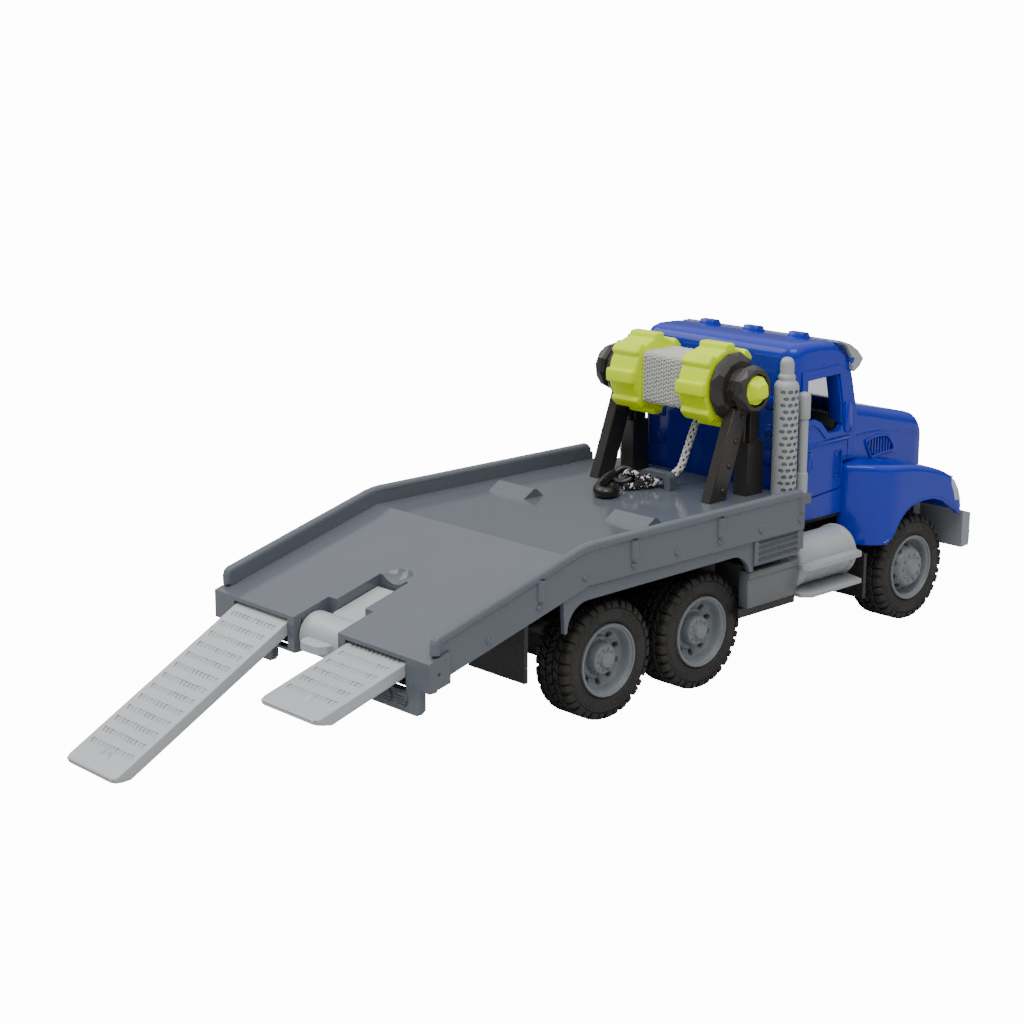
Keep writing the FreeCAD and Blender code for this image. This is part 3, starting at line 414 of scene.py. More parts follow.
# ---- camera, light and floor ----
CAMERA_AT = (-0.46504, -0.47104, 0.22318)
CAMERA_YAW, CAMERA_PITCH = radians(46.80), radians(14.09)
CAMERA_LENS = 70.88


def aimed(obj, place_at, ahead):
    obj.location = place_at
    obj.rotation_mode = "QUATERNION"
    obj.rotation_quaternion = ahead.to_track_quat("-Z", "Y")


def make_camera():
    data = bpy.data.cameras.new("camera")
    data.sensor_width = 36.0
    data.lens = CAMERA_LENS
    camera = linked("camera", data)
    level = cos(CAMERA_PITCH)
    aimed(camera, CAMERA_AT, Vector((cos(CAMERA_YAW) * level, sin(CAMERA_YAW) * level, -sin(CAMERA_PITCH))))
    bpy.context.scene.camera = camera


def area_light(name, place_at, target, size, energy):
    data = bpy.data.lights.new(name, "AREA")
    data.shape = "RECTANGLE"
    data.size, data.size_y = size
    data.energy = energy
    aimed(linked(name, data), place_at, Vector(target) - Vector(place_at))


PURE_WHITE = (1.0, 1.0, 1.0, 1.0)
HORIZON_LIGHT, ZENITH_LIGHT = 0.18, 1.35
WHITE_OUT = 14.0        # how bright the backdrop and floor look, beyond the light that they give


def seen_directly(tree, socket, lighting, shown):
    """Sets a stage strength to one value for the light it gives, and to another for how it looks."""
    path = tree.nodes.new("ShaderNodeLightPath")
    strength = map_range(tree, path.outputs["Is Camera Ray"], {"To Min": lighting, "To Max": shown})
    tree.links.new(strength.outputs["Result"], socket)
    return strength


def make_studio():
    world = bpy.data.worlds.new("studio")
    world.use_nodes = True
    tree = world.node_tree
    background = tree.nodes["Background"]
    put(background, {"Color": PURE_WHITE})
    bpy.context.scene.world = world
    strength = seen_directly(tree, background.inputs["Strength"], 1.0, WHITE_OUT)
    split = tree.nodes.new("ShaderNodeSeparateXYZ")
    tree.links.new(tree.nodes.new("ShaderNodeTexCoord").outputs["Generated"], split.inputs["Vector"])
    height = map_range(tree, split.outputs["Z"], {"From Min": 0.1, "From Max": 1.0,
                                                  "To Min": HORIZON_LIGHT, "To Max": ZENITH_LIGHT})
    height.interpolation_type = "SMOOTHSTEP"
    tree.links.new(height.outputs["Result"], strength.inputs["To Min"])
    area_light("key", (-0.45, -0.30, 1.15), (0.0, 0.0, 0.05), (0.9, 0.6), 7.0)
    area_light("rim", (-0.35, 0.90, 0.90), (0.0, 0.0, 0.06), (0.8, 0.5), 3.0)
    mesh = bpy.data.meshes.new("floor")
    mesh.from_pydata([(-6, -6, 0), (6, -6, 0), (6, 6, 0), (-6, 6, 0)], [], [(0, 1, 2, 3)])
    pale = material("floor_pale", (0.60, 0.60, 0.60), 0.6, vary=0.01)
    put(surface(pale), {"Emission Color": PURE_WHITE})
    seen_directly(pale.node_tree, surface(pale).inputs["Emission Strength"], 0.0, WHITE_OUT - 1.0)
    mesh.materials.append(pale)
    linked("floor", mesh)


make_camera()
make_studio()


# ---- rope ----
def rope_line():
    """The free rope's centreline: the route as a smooth spline, read back as points in metres."""
    curve = bpy.data.curves.new("rope_line", "CURVE")
    curve.dimensions = "3D"
    spline = curve.splines.new("NURBS")
    spline.points.add(len(ROPE) - 1)
    for point, place_at in zip(spline.points, ROPE):
        point.co = (*place_at, 1.0)
    spline.order_u = 3
    spline.use_endpoint_u = True
    spline.resolution_u = 48
    obj = linked("rope_line", curve)
    graph = bpy.context.evaluated_depsgraph_get()
    mesh = bpy.data.meshes.new_from_object(obj.evaluated_get(graph))
    points = [v.co.copy() for v in mesh.vertices]
    bpy.data.objects.remove(obj)
    return points


def evenly(points, step):
    """The same line with its points a fixed step apart, to within one step at the end."""
    line = [points[0]]
    left = step
    for a, b in zip(points, points[1:]):
        span = (b - a).length
        done = 0.0
        while span - done >= left:
            done += left
            line.append(a.lerp(b, done / span))
            left = step
        left -= span - done
    line.append(points[-1])
    return line


def braid(bm, line, width, strands, turns_per_mm, thick, picked=lambda way, k: True):
    """Strands that cross over and under each other round a line. Half of them wind each way."""
    rows = frames_along(line)
    places = [0.0]
    for (a, _, _), (b, _, _) in zip(rows, rows[1:]):
        places.append(places[-1] + (b - a).length)
    middle = width / 2 - thick * 1.25       # of the strands, which weave a little in and out of it
    for way in (1, -1):
        for k in range(strands):
            if not picked(way, k):
                continue
            path = []
            for (p, side, up), s in zip(rows, places):
                turn = s * turns_per_mm
                a = way * 2 * pi * turn + 2 * pi * k / strands
                weave = cos(strands * 2 * pi * turn + pi * k * (strands % 2))
                r = middle + way * thick * 0.36 * weave
                path.append(p + side * (r * cos(a)) + up * (r * sin(a)))
            tube(bm, path, thick, 8)


def to_design(points):
    """Points in metres taken back to the design frame."""
    back = TO_ROW.inverted()
    return [back @ p for p in points]


def rope_pieces(name, shade_core_name, path, shade_core_path):
    """The braid, and a black tube inside it: painted shade that shows in the gaps between its strands."""
    cover, core = bmesh.new(), bmesh.new()
    braid(cover, path, ROPE_D * 1000, STRANDS_EACH_WAY, TURNS_PER_MM, STRAND_R)
    tube(core, shade_core_path, SHADE_CORE_R)
    return new_object(name, cover, ROPE_WHITE, 60.0), new_object(shade_core_name, core, ROPE_BLACK, 60.0)


line = evenly(rope_line(), 0.0003)
# the black tube inside the free rope is painted shade between its strands
free_rope, rope_shade_core = rope_pieces("braided_rope", "rope_shade_core", to_design(line), to_design(line[1:-1]))
place(free_rope, "chassis", "rope_white", "winch_rope")
place(rope_shade_core, "chassis", "hook_black", "winch_rope")


# ---- knot and hook ----
RING_STEPS = 48


def ring_path(centre, e1, e2, radius):
    """Points round a circle that lies in the plane of two directions, first and last the same."""
    centre, e1, e2 = Vector(centre), Vector(e1).normalized(), Vector(e2).normalized()
    return [centre + e1 * (radius * cos(a)) + e2 * (radius * sin(a))
            for a in (2 * pi * i / RING_STEPS for i in range(RING_STEPS + 1))]


def speckled(name, paths, pale):
    """Black braid with a few pale strands in it. Each path is (points, width)."""
    made = []
    for colour, mat, slot in (("black", ROPE_BLACK, "hook_black"), ("pale", ROPE_WHITE, "rope_white")):
        bm = bmesh.new()
        for path, width in paths:
            path = evenly([Vector(p) for p in path], 0.22)
            braid(bm, path, width, 4, 0.62 / width, width * 0.15,
                  lambda way, k: ((way, k) in pale) == (colour == "pale"))
            if colour == "black":
                tube(bm, path, width * 0.34)
        made.append(place(new_object(name + "_" + colour, bm, mat, 60.0), "chassis", slot, "rope_knot"))
    return made


along = Vector((-12.4, 6.4, 0.4)).normalized()
across = along.cross(Vector((0.0, 0.0, 1.0))).normalized()
to_knot, eye_axis = Vector((0.347, -0.938, 0.0)), Vector((-0.538, -0.199, 0.819))
knot = speckled("rope_knot_wrap", [
    (smooth_path([(68.2, 0.9, 59.95), (66.2, 1.9, 60.1), (64.2, 2.9, 60.2), (62.9, 4.0, 60.7)]), 3.9),
    (ring_path((66.6, 1.7, 60.45), across, along.cross(across), 1.75), 2.0),
    (ring_path((64.1, 3.1, 60.5), across, along.cross(across) + along * 0.5, 1.95), 2.1),
    (smooth_path([(64.8, 1.9, 59.6), (62.4, 2.4, 59.35), (60.0, 3.6, 59.2), (57.9, 4.5, 59.15)]), 2.5),
], {(1, 0), (-1, 2)})
knot += speckled("rope_eye_loop", [
    (ring_path(Vector((62.1, 9.3, 61.8)) + to_knot * 3.4, to_knot, eye_axis, 2.45), 2.1),
], {(1, 0), (1, 1), (-1, 1), (-1, 2)})


# ---- winch ----
LUGS = 8
LUG_HALF = 2.55          # half the width of one lug
LUG_RISE = 1.75
LUG_R = 13.6             # radius at which a lug's width is measured
WHEEL_R = 13.03          # between the lugs
WHEEL_Y0, WHEEL_Y1 = 10.2, 22.9
FACET_ANGLE = 6.0        # degrees; the winch's facets stay crisp above this


def lug_outline(shrink, steps=480):
    """The wheel's edge: a circle with eight rounded bars standing on it."""
    points = []
    pitch = 2 * pi / LUGS
    for i in range(steps):
        a = 2 * pi * i / steps
        local = (a + pitch / 2) % pitch - pitch / 2
        t = abs(local) * LUG_R / (LUG_HALF - shrink * 0.8)
        rise = LUG_RISE * sqrt(max(0.0, 1 - t ** 8)) if t < 1 else 0.0
        r = WHEEL_R - shrink + rise
        points.append((HUB_X + r * cos(a), HUB_Z + r * sin(a)))
    return points


def spool_wheel():
    """A drum flange with full-width lugs, its journal and the square plug that shows at the end."""
    bm = bmesh.new()
    edge = ((0.0, 0.9), (0.12, 0.45), (0.4, 0.14), (0.9, 0.0))
    rows = [(WHEEL_Y0 + inset, shrink) for inset, shrink in edge]
    rows += [(WHEEL_Y1 - inset, shrink) for inset, shrink in reversed(edge)]
    skin(bm, [[(x, y, z) for x, z in lug_outline(shrink)] for y, shrink in rows])
    rod(bm, (HUB_X, 0, HUB_Z), 5.0, "y", WHEEL_Y1 - 0.2, 34.9, 48)
    tip = []
    turn = radians(8.0)
    for y, half, soft in ((34.6, 4.3, 1.7), (35.2, 4.05, 1.6), (37.5, 2.7, 1.2), (38.0, 2.35, 1.1),
                          (38.2, 1.9, 0.9)):
        row = []
        for cx, cz, start in ((1, 1, 0), (-1, 1, 90), (-1, -1, 180), (1, -1, 270)):
            row += arc(cx * (half - soft), cz * (half - soft), soft, start, start + 90, 5)
        tip.append([(HUB_X + x * cos(turn) - z * sin(turn), y, HUB_Z + x * sin(turn) + z * cos(turn))
                    for x, z in row])
    skin(bm, tip)
    return new_object("spool_wheel_look_left", bm, NEON, 24.0)


def facet_rings(bm, rows, sides, hole):
    """A many-sided plate with a hole. Rows are (radius, y, turn in degrees); a new turn makes triangles."""
    def ring(r, y, turn):
        return [bm.verts.new((HUB_X + r * cos(a), y, HUB_Z + r * sin(a)))
                for a in (radians(turn + 360.0 * i / sides) for i in range(sides))]

    rings = [ring(*row) for row in rows]
    inner = [ring(hole, y, rows[0][2]) for y in (rows[0][1], rows[-1][1])]
    for a, b, low, high in zip(rings, rings[1:], rows, rows[1:]):
        for i in range(sides):
            j = (i + 1) % sides
            if low[2] == high[2]:
                bm.faces.new((a[i], a[j], b[j], b[i]))
            else:
                bm.faces.new((a[i], a[j], b[i]))
                bm.faces.new((a[j], b[j], b[i]))
    for i in range(sides):
        j = (i + 1) % sides
        for a, b in ((inner[0], inner[1]), (rings[0], inner[0]), (rings[-1], inner[1])):
            bm.faces.new((a[i], a[j], b[j], b[i]))


def winch_frame():
    """One side of the winch: leaning leg with its rivets, ribbed post and a thin rod beside it."""
    leg = shape(prism, [(64.9, BED_Z), (73.0, BED_Z), (84.6, 89.4), (76.6, 89.4)], "y", 24.8, 29.0)
    piece = new_object("winch_leg", leg, WINCH)
    add(piece, prism, [(82.5, BED_Z), (91.3, BED_Z), (91.0, 76.3), (83.0, 76.3)], "y", 24.2, 30.2)
    add(piece, block, 84.6, 89.2, 24.9, 29.4, 76.0, 90.0)
    for i in range(5):
        add(piece, block, 87.8, 90.2, 25.3, 29.0, 77.4 + 2.35 * i, 78.7 + 2.35 * i)
    add(piece, rod, (83.9, 27.2, 0), 0.75, "z", 76.0, 88.0, 16)
    rivets = bmesh.new()
    for i in range(4):
        dome(rivets, 71.6 + 3.03 * i, 29.0, 61.2 + 8.3 * i, 1.0, 0.6)
    return [bevelled(piece, 0.22), new_object("winch_rivets", rivets, WINCH)]


def faceted(name, rows, sides, hole, width):
    """A faceted plate or cap of the winch, with its edges rounded."""
    plate = new_object(name, shape(facet_rings, rows, sides, hole), WINCH)
    return bevelled(plate, width, weld=False, flatten=False)


def join(name, pieces, angle):
    """Several pieces as one, with the edges sharper than the angle kept crisp."""
    bm = bmesh.new()
    for piece in pieces:
        bm.from_mesh(piece.data)
    mesh = bpy.data.meshes.new(name)
    bm.to_mesh(mesh)
    bm.free()
    mesh.materials.append(pieces[0].data.materials[0])
    for piece in pieces:
        bpy.data.objects.remove(piece)
    shade_edges(mesh, angle)
    return linked(name, mesh)


def place_pair(left, body, slot, *stands_for):
    """Places a left-hand piece and its mirror image. A node name may hold SIDE, for left or right."""
    right = mirror_piece(left, left.name.replace("left", "right"))
    for piece, side in ((left, "left"), (right, "right")):
        place(piece, body, slot, *(node.replace("SIDE", side) for node in stands_for))


PLATE = ((11.5, 23.25, 15.0), (12.2, 24.3, 15.0), (10.9, 26.0, 30.0), (9.4, 27.4, 30.0), (6.9, 27.7, 30.0),
         (6.7, 30.6, 30.0))
CAP = ((7.3, 30.6, 9.0), (8.5, 31.7, 9.0), (8.4, 33.6, 9.0), (7.3, 35.3, 27.0), (6.4, 35.3, 27.0))
plate = faceted("winch_plate", PLATE, 12, 5.2, 0.12)
cap = faceted("winch_cap", CAP, 10, 5.9, 0.14)
left = join("winch_frame_look_left", [*winch_frame(), plate], FACET_ANGLE)
place_pair(left, "chassis", "winch_black", "winch_frame_SIDE")
place_pair(join("winch_cap_look_left", [cap], FACET_ANGLE), "chassis", "winch_black", "winch_bearings")
place_pair(spool_wheel(), "spool", "winch_neon", "spool_wheel_SIDE")


def winding():
    """Nine turns of braided rope round a square core, as one relief."""
    turns, width = 9, 20.1
    half, corner = 9.25, 2.0                # of the square that the rope is wound round
    inset, depth, rise = 1.05, 0.62, 0.52   # of the lowest place, of a turn's round and of a strand's lump
    straight = 2 * (half - corner)
    leg_length = straight + pi * corner / 2
    around = 4 * leg_length
    strand = around / round(around / 1.42)
    pitch = width / turns

    def spot(s, lift):
        leg = int(s // leg_length)
        s -= leg * leg_length
        if s < straight:
            x, z, nx, nz = half, -half + corner + s, 1.0, 0.0
        else:
            a = (s - straight) / corner
            nx, nz = cos(a), sin(a)
            x = half - corner + corner * nx
            z = half - corner + corner * nz
        x, z = x + nx * lift, z + nz * lift
        for _ in range(leg):
            x, z = -z, x
        return HUB_X + x, HUB_Z + z

    bm = bmesh.new()
    along, across_all = int(around / 0.17), turns * 14
    rings = []
    for j in range(across_all + 1):
        y = -width / 2 + width * j / across_all
        turn = (y + width / 2) / pitch
        u = abs(2 * (turn % 1.0) - 1)
        groove = depth * (1 - u ** 3.0)
        split = min(1.0, u * 5.0)
        row = []
        for i in range(along):
            s = around * i / along
            phase = s / strand + 0.75 * u + 0.5 * int(turn)
            lump = abs(cos(pi * phase)) ** 0.8
            x, z = spot(s, -inset + groove + rise * lump * split * (1 - u ** 4))
            row.append((x, y, z))
        rings.append(row)
    skin(bm, rings)
    return new_object("braided_winding", bm, WINDING, 180.0)


place(winding(), "spool", "rope_white", "wound_rope")


def rope_lead():
    """The last bit of rope between the winding and the place where the free rope starts."""
    a, b = to_design([Vector(p) for p in ROPE[:2]])
    d = (a - b).normalized()
    path = [a + d * (9.0 - 0.3 * i) for i in range(30)] + [a + d * 0.05]
    return rope_pieces("rope_lead", "rope_lead_shade_core", path, path)


# the lead's black tube is painted shade between its strands
for piece, slot in zip(rope_lead(), ("rope_white", "hook_black")):
    place(piece, "spool", slot, "wound_rope")


# ---- wheels ----
TREAD_R = 20.0
BASE_R = 19.05           # the tyre between its tread blocks
BLOCKS = 34              # round the tyre, in each row
STUDS = 10               # in a ring on the rim, with as many holes between them
RIB_R = 15.15            # middle of the ribs on the sidewall
# inner and outer edge, start as a share of the pitch, and lean, of each row of tread blocks
CHEVRONS = ((33.2, 35.5, 0.0, 0.75), (36.1, 38.5, 0.5, -0.75), (39.1, 41.4, 0.0, 0.75))


def wheel_spot(r, a, y):
    """A point at a radius and an angle round the axle of a wheel."""
    return (r * cos(a), y, AXLE_Z + r * sin(a))


def tread_block(bm, outline):
    """A block on the tread. The outline is (distance round the tyre, y)."""
    middle = [sum(p[k] for p in outline) / len(outline) for k in (0, 1)]

    def pulled(value, centre, shrink):
        away = centre - value
        return value + away / max(abs(away), 1e-6) * min(shrink, abs(away))

    rings = []
    for r, shrink in ((BASE_R - 0.2, 0.0), (TREAD_R - 0.18, 0.07), (TREAD_R, 0.308)):
        rings.append([wheel_spot(r, pulled(s, middle[0], shrink) / TREAD_R, pulled(y, middle[1], shrink))
                      for s, y in outline])
    skin(bm, rings)


def shoulder_block(bm, s0, s1, profile, taper=0.2):
    """A block that wraps from the tread onto the sidewall."""
    last = len(profile) - 1
    skin(bm, [[wheel_spot(r - (shrink if 0 < i < last else 0.0), s / TREAD_R, y)
               for i, (r, y) in enumerate(profile)]
              for s, shrink in ((s0, 0.22), (s0 + taper, 0.0), (s1 - taper, 0.0), (s1, 0.22))])


def rib(bm, a, tall):
    """A low moulded rib on the sidewall."""
    rings = [[bm.verts.new(wheel_spot(r, a + turn, 44.56 + lift)) for r in (RIB_R - tall, RIB_R + tall)]
             for turn, lift in ((-0.016, 0.0), (-0.010, 0.17), (0.010, 0.17), (0.016, 0.0))]
    for p, q in zip(rings, rings[1:]):
        bm.faces.new((p[0], p[1], q[1], q[0]))
    bm.faces.new([row[0] for row in rings])
    bm.faces.new([rings[i][1] for i in (0, 3, 2, 1)])
    bm.faces.new((rings[0][0], rings[3][0], rings[3][1], rings[0][1]))


def tyre_mesh():
    bm = bmesh.new()
    carcass = [
        (12.0, 31.0), (13.2, 30.55), (15.5, 30.35), (17.6, 30.7), (18.7, 31.5), (BASE_R, 32.4),
        (BASE_R, 42.3), (18.75, 43.4), (18.0, 44.1), (17.1, 44.45), (16.95, 44.62), (16.7, 44.64),
        (16.5, 44.5), (15.0, 44.62), (13.7, 44.5), (13.5, 44.62), (13.3, 44.6), (13.1, 44.35),
        (12.6, 44.15), (12.25, 43.8), (12.0, 43.0)
    ]
    outer = [(18.4, 42.0), (TREAD_R, 42.05), (TREAD_R, 43.0), (19.55, 44.0), (18.5, 44.62), (17.5, 44.7),
             (17.4, 43.6)]
    inner = [(18.4, 32.6), (TREAD_R, 32.55), (TREAD_R, 31.7), (19.4, 30.8), (18.2, 30.35), (17.4, 30.4),
             (17.4, 31.4)]
    turned(bm, carcass, (0, 0, AXLE_Z), "y", 144, closed=True)
    pitch = 2 * pi * TREAD_R / BLOCKS
    half_gap = 0.31
    for i in range(BLOCKS):
        s = pitch * i
        for y0, y1, shift, lean in CHEVRONS:
            at = s + shift * pitch
            tread_block(bm, [(at + half_gap - lean, y0), (at + pitch * 0.55 - lean, y0 + 0.25),
                             (at + pitch - half_gap - lean, y0), (at + pitch - half_gap + lean, y1),
                             (at + pitch * 0.45 + lean, y1 - 0.25), (at + half_gap + lean, y1)])
        at = s + 0.3 * pitch
        reach = (pitch - 0.75) * (1.0 if i % 2 else 0.72)
        shoulder_block(bm, at, at + reach, outer)
        shoulder_block(bm, at, at + reach, inner)
    # plain ribs in four short arcs on the sidewall, every third one longer
    for start in (18.0, 108.0, 198.0, 288.0):
        for k in range(13):
            rib(bm, radians(start + 3.9 * k), 0.85 if k % 3 else 1.25)
    return new_object("tyre_look", bm, TYRE, 35.0)


def rim_mesh(front):
    """A rim with holes and studs in rings: a wide stepped hub in front, a dished one at the back."""
    bm = bmesh.new()
    lip = [(12.15, 30.4), (12.15, 44.55), (11.95, 44.85), (11.6, 44.9), (11.35, 44.7), (11.2, 44.1),
           (10.85, 43.95), (10.6, 43.6), (10.35, 42.2)]
    if front:
        face = [(10.1, 40.9), (9.7, 40.4), (8.9, 40.9), (7.6, 42.9), (6.9, 44.0), (6.5, 44.5), (5.9, 44.75),
                (3.6, 44.85), (3.2, 45.1), (2.9, 45.7), (2.4, 46.05), (0.0, 46.15)]
        stud_rows = [(5.0, 0.0, 44.75, 0.62, 0.75)]
    else:
        face = [
            (9.95, 40.7), (9.6, 40.2), (7.3, 39.1), (7.1, 39.5), (6.75, 39.75), (5.7, 39.7),
            (5.35, 39.35), (5.15, 40.0), (4.95, 42.5), (4.7, 42.95), (4.3, 43.1), (3.05, 43.15),
            (2.8, 43.4), (2.65, 44.2), (2.3, 44.6), (1.2, 44.75), (0.0, 44.8)
        ]
        stud_rows = [(3.7, 0.0, 43.05, 0.42, 0.55), (6.2, 18.0, 39.65, 0.42, 0.35)]
    back = [(0.0, 36.6), (8.9, 36.6), (9.5, 36.2), (10.3, 34.0), (10.5, 30.4)]
    turned(bm, lip + face + back + [lip[0]], (0, 0, AXLE_Z), "y", 120)
    bmesh.ops.remove_doubles(bm, verts=bm.verts, dist=1e-5)
    rim = new_object("rim_look", bm, RIM, 30.0)
    holes, studs = bmesh.new(), bmesh.new()
    for i in range(STUDS):
        turn = 360.0 / STUDS * i
        rod(holes, wheel_spot(8.35, radians(18.0 + turn), 0), 0.98, "y", 35.0, 46.0)
        for r, start, y, size, height in stud_rows:
            x, _, z = wheel_spot(r, radians(start + turn), 0)
            dome(studs, x, y, z, size, height)
    carve(rim, holes)
    studs = new_object("studs", studs, RIM, 30.0)
    return join("rim_look", [bevelled(rim, 0.16, angle=40.0, flatten=False), studs], 25.0)


def wheel_at(pattern, name, x):
    mesh = pattern.data.copy()
    mesh.transform(Matrix.Translation((x / 1000, 0.0, 0.0)))
    return linked(name, mesh)


tyre_pattern = tyre_mesh()
rim_patterns = {True: rim_mesh(True), False: rim_mesh(False)}
for axle, x in AXLES.items():
    body = "wheelset_" + axle
    for kind, pattern, slot in (("tyre", tyre_pattern, "tyre_black"),
                                ("rim", rim_patterns[axle == "front"], "rim_grey")):
        left = wheel_at(pattern, kind + "_look_" + axle + "_left", x)
        place_pair(left, body, slot, kind + "_" + axle + "_SIDE")
for pattern in (tyre_pattern, *rim_patterns.values()):
    bpy.data.objects.remove(pattern)


# ---- ramps ----
REAR_X, REAR_Z = -83.2, 39.55                 # rear edge of the sloped deck
SLOPE = atan((BED_Z - REAR_Z) / (-REAR_X - 17.8))
CELLS, CELL_ROWS = 12, 13                     # shallow tread cells across a ramp, and along it


def sloped(s, n):
    """The point s along the slope from the bed's rear face and n above the sloped deck, as x and z."""
    return (REAR_X + s * cos(SLOPE) - n * sin(SLOPE),
            REAR_Z + s * sin(SLOPE) + n * cos(SLOPE))


def ramp_look(name, y0, pushed_in, tilt):
    """A loading ramp, drawn flat along -X from its pin and then set down on the slope."""
    long, half, wide = 77.7, 2.0, 27.6
    y1 = y0 + wide
    outline = [
        (-half * 0.2, -half), (half * 0.75, -half * 0.66), (half, 0.0), (half * 0.75, half * 0.66),
        (-half * 0.2, half), (-long + 0.5, half), (-long, half - 0.5), (-long, half - 1.4),
        (-long + 5.1, -half)
    ]
    piece = new_object(name, shape(prism, outline, "y", y0, y1), RAMP)
    corners = bmesh.new()
    for y, s in ((y0, 1), (y1, -1)):
        prism(corners, [(-long - 1, y - s), (-long + 2.4, y - s), (-long + 2.4, y),
                        (-long + 0.55, y + s * 0.75), (-long, y + s * 2.4), (-long - 1, y + s * 2.4)],
              "z", -9.0, 9.0)
    carve(piece, corners)
    bevelled(piece, 0.42, 3)
    cells = bmesh.new()
    pitch = (wide - 4.4) / CELLS
    for i in range(CELL_ROWS):
        far = -3.5 - 2.75 - 5.07 * i
        near = far - 1.9
        for k in range(CELLS):
            y = y1 - 2.2 - pitch * k - 0.18
            prism(cells, [(far, y), (near, y - 0.55), (near, y - 0.55 - 1.35), (far, y - 1.35)],
                  "z", half - 0.3, half + 1.0)
    carve(piece, cells)
    # finger grip: half a shallow bowl with its wall towards the ramp's tip
    bowl = bmesh.new()
    wall, middle, grip = -long + 6.0, (y0 + y1) / 2, 3.5
    rows = ((1.0, grip + 0.001), (0.0, grip), (-0.3, grip * 0.86), (-0.62, grip * 0.62), (-0.82, grip * 0.34))
    turns = [pi * j / 16 for j in range(17)]
    skin(bowl, [[(wall + r * sin(a), middle + r * cos(a), half + lift) for a in turns] for lift, r in rows])
    carve(piece, bowl)
    px, pz = sloped(3.5 + pushed_in, -(1.59 + half))
    turn = Matrix.Translation((px, 0, pz)) @ Matrix.Rotation(-SLOPE - radians(tilt), 4, "Y")
    piece.data.transform(TO_ROW @ turn @ TO_ROW.inverted())
    return soften(piece)


place(ramp_look("ramp_look_left", 14.65, 0.0, 13.1), "ramp_left", "ramp_grey", "ramp_left")
place(ramp_look("ramp_look_right", -42.25, 39.1, 1.0), "ramp_right", "ramp_grey", "ramp_right")


# ---- cab, hood and wings ----
def body_ring(x, half, top, corner, bottom):
    """One cross-section of a body panel: flat sides and top with rounded upper corners."""
    right = [(half, bottom), (half, top - corner)] + arc(half - corner, top - corner, corner, 0, 90, 8)[1:]
    return [(x, y, z) for y, z in right + [(-y, z) for y, z in reversed(right)]]


def blended(rows, count):
    """Rows of numbers, smoothly blended along the first of them into more rows."""
    lines = [smooth_path([(row[0], row[k], 0.0) for row in rows], count) for k in range(1, len(rows[0]))]
    return [(lines[0][i].x, *(line[i].y for line in lines)) for i in range(len(lines[0]))]


def lofted_body(rows, bottom):
    """A closed body through cross-sections given as x, half width, top and corner radius."""
    return shape(skin, [body_ring(*row, bottom) for row in rows])


def strip(points, width):
    """The outline of a line drawn with a width, mitred at its corners."""
    sides = ([], [])
    for i, (x, z) in enumerate(points):
        a = Vector(points[max(i - 1, 0)])
        b = Vector(points[min(i + 1, len(points) - 1)])
        here = Vector((x, z))
        into = (here - a).normalized() if i else (b - here).normalized()
        out = (b - here).normalized() if i < len(points) - 1 else into
        normal = Vector((-(into + out).y, (into + out).x)).normalized()
        reach = width / 2 / max(0.3, normal.dot(Vector((-into.y, into.x))))
        for side, sign in zip(sides, (1, -1)):
            side.append(tuple(here + normal * (reach * sign)))
    return sides[0] + sides[1][::-1]


def carve_sides(piece, points, low, high, operation="DIFFERENCE"):
    """Cuts or adds an outline in x and z between two distances from the mid-plane, on both sides."""
    for sign, _ in SIDES:
        carve(piece, shape(prism, points, "y", sign * low, sign * high), operation)


# x, half width, top, radius of the upper corners
CAB_ROWS = [
    (99.5, 30.6, 103.6, 3.0), (99.8, 32.2, 105.2, 3.2), (100.5, 33.8, 106.8, 3.5),
    (101.6, 35.0, 108.0, 3.7), (103.2, 35.8, 108.8, 3.8), (106.0, 36.0, 109.4, 3.8),
    (114.0, 36.0, 109.2, 3.4), (121.0, 36.0, 108.6, 3.4), (124.4, 36.0, 107.5, 3.3),
    (127.2, 36.0, 105.8, 3.2), (129.4, 36.0, 103.6, 3.1), (131.0, 36.0, 101.1, 3.0),
    (132.6, 36.0, 96.4, 2.8), (135.9, 36.0, 83.9, 2.6), (136.2, 36.0, 75.0, 2.6)
]
WINDOW = [(106.9, 96.2), (124.7, 96.8), (127.2, 86.0), (127.6, 78.2), (125.6, 75.8), (119.4, 75.9),
          (114.9, 80.4), (111.2, 82.0), (106.9, 82.0)]
WINDOW_FRAME = [(103.8, 99.4), (124.2, 100.0), (126.6, 98.6), (129.9, 87.0), (130.4, 77.0), (128.4, 73.9),
                (118.3, 73.9), (113.6, 78.4), (110.8, 79.8), (103.8, 79.8)]


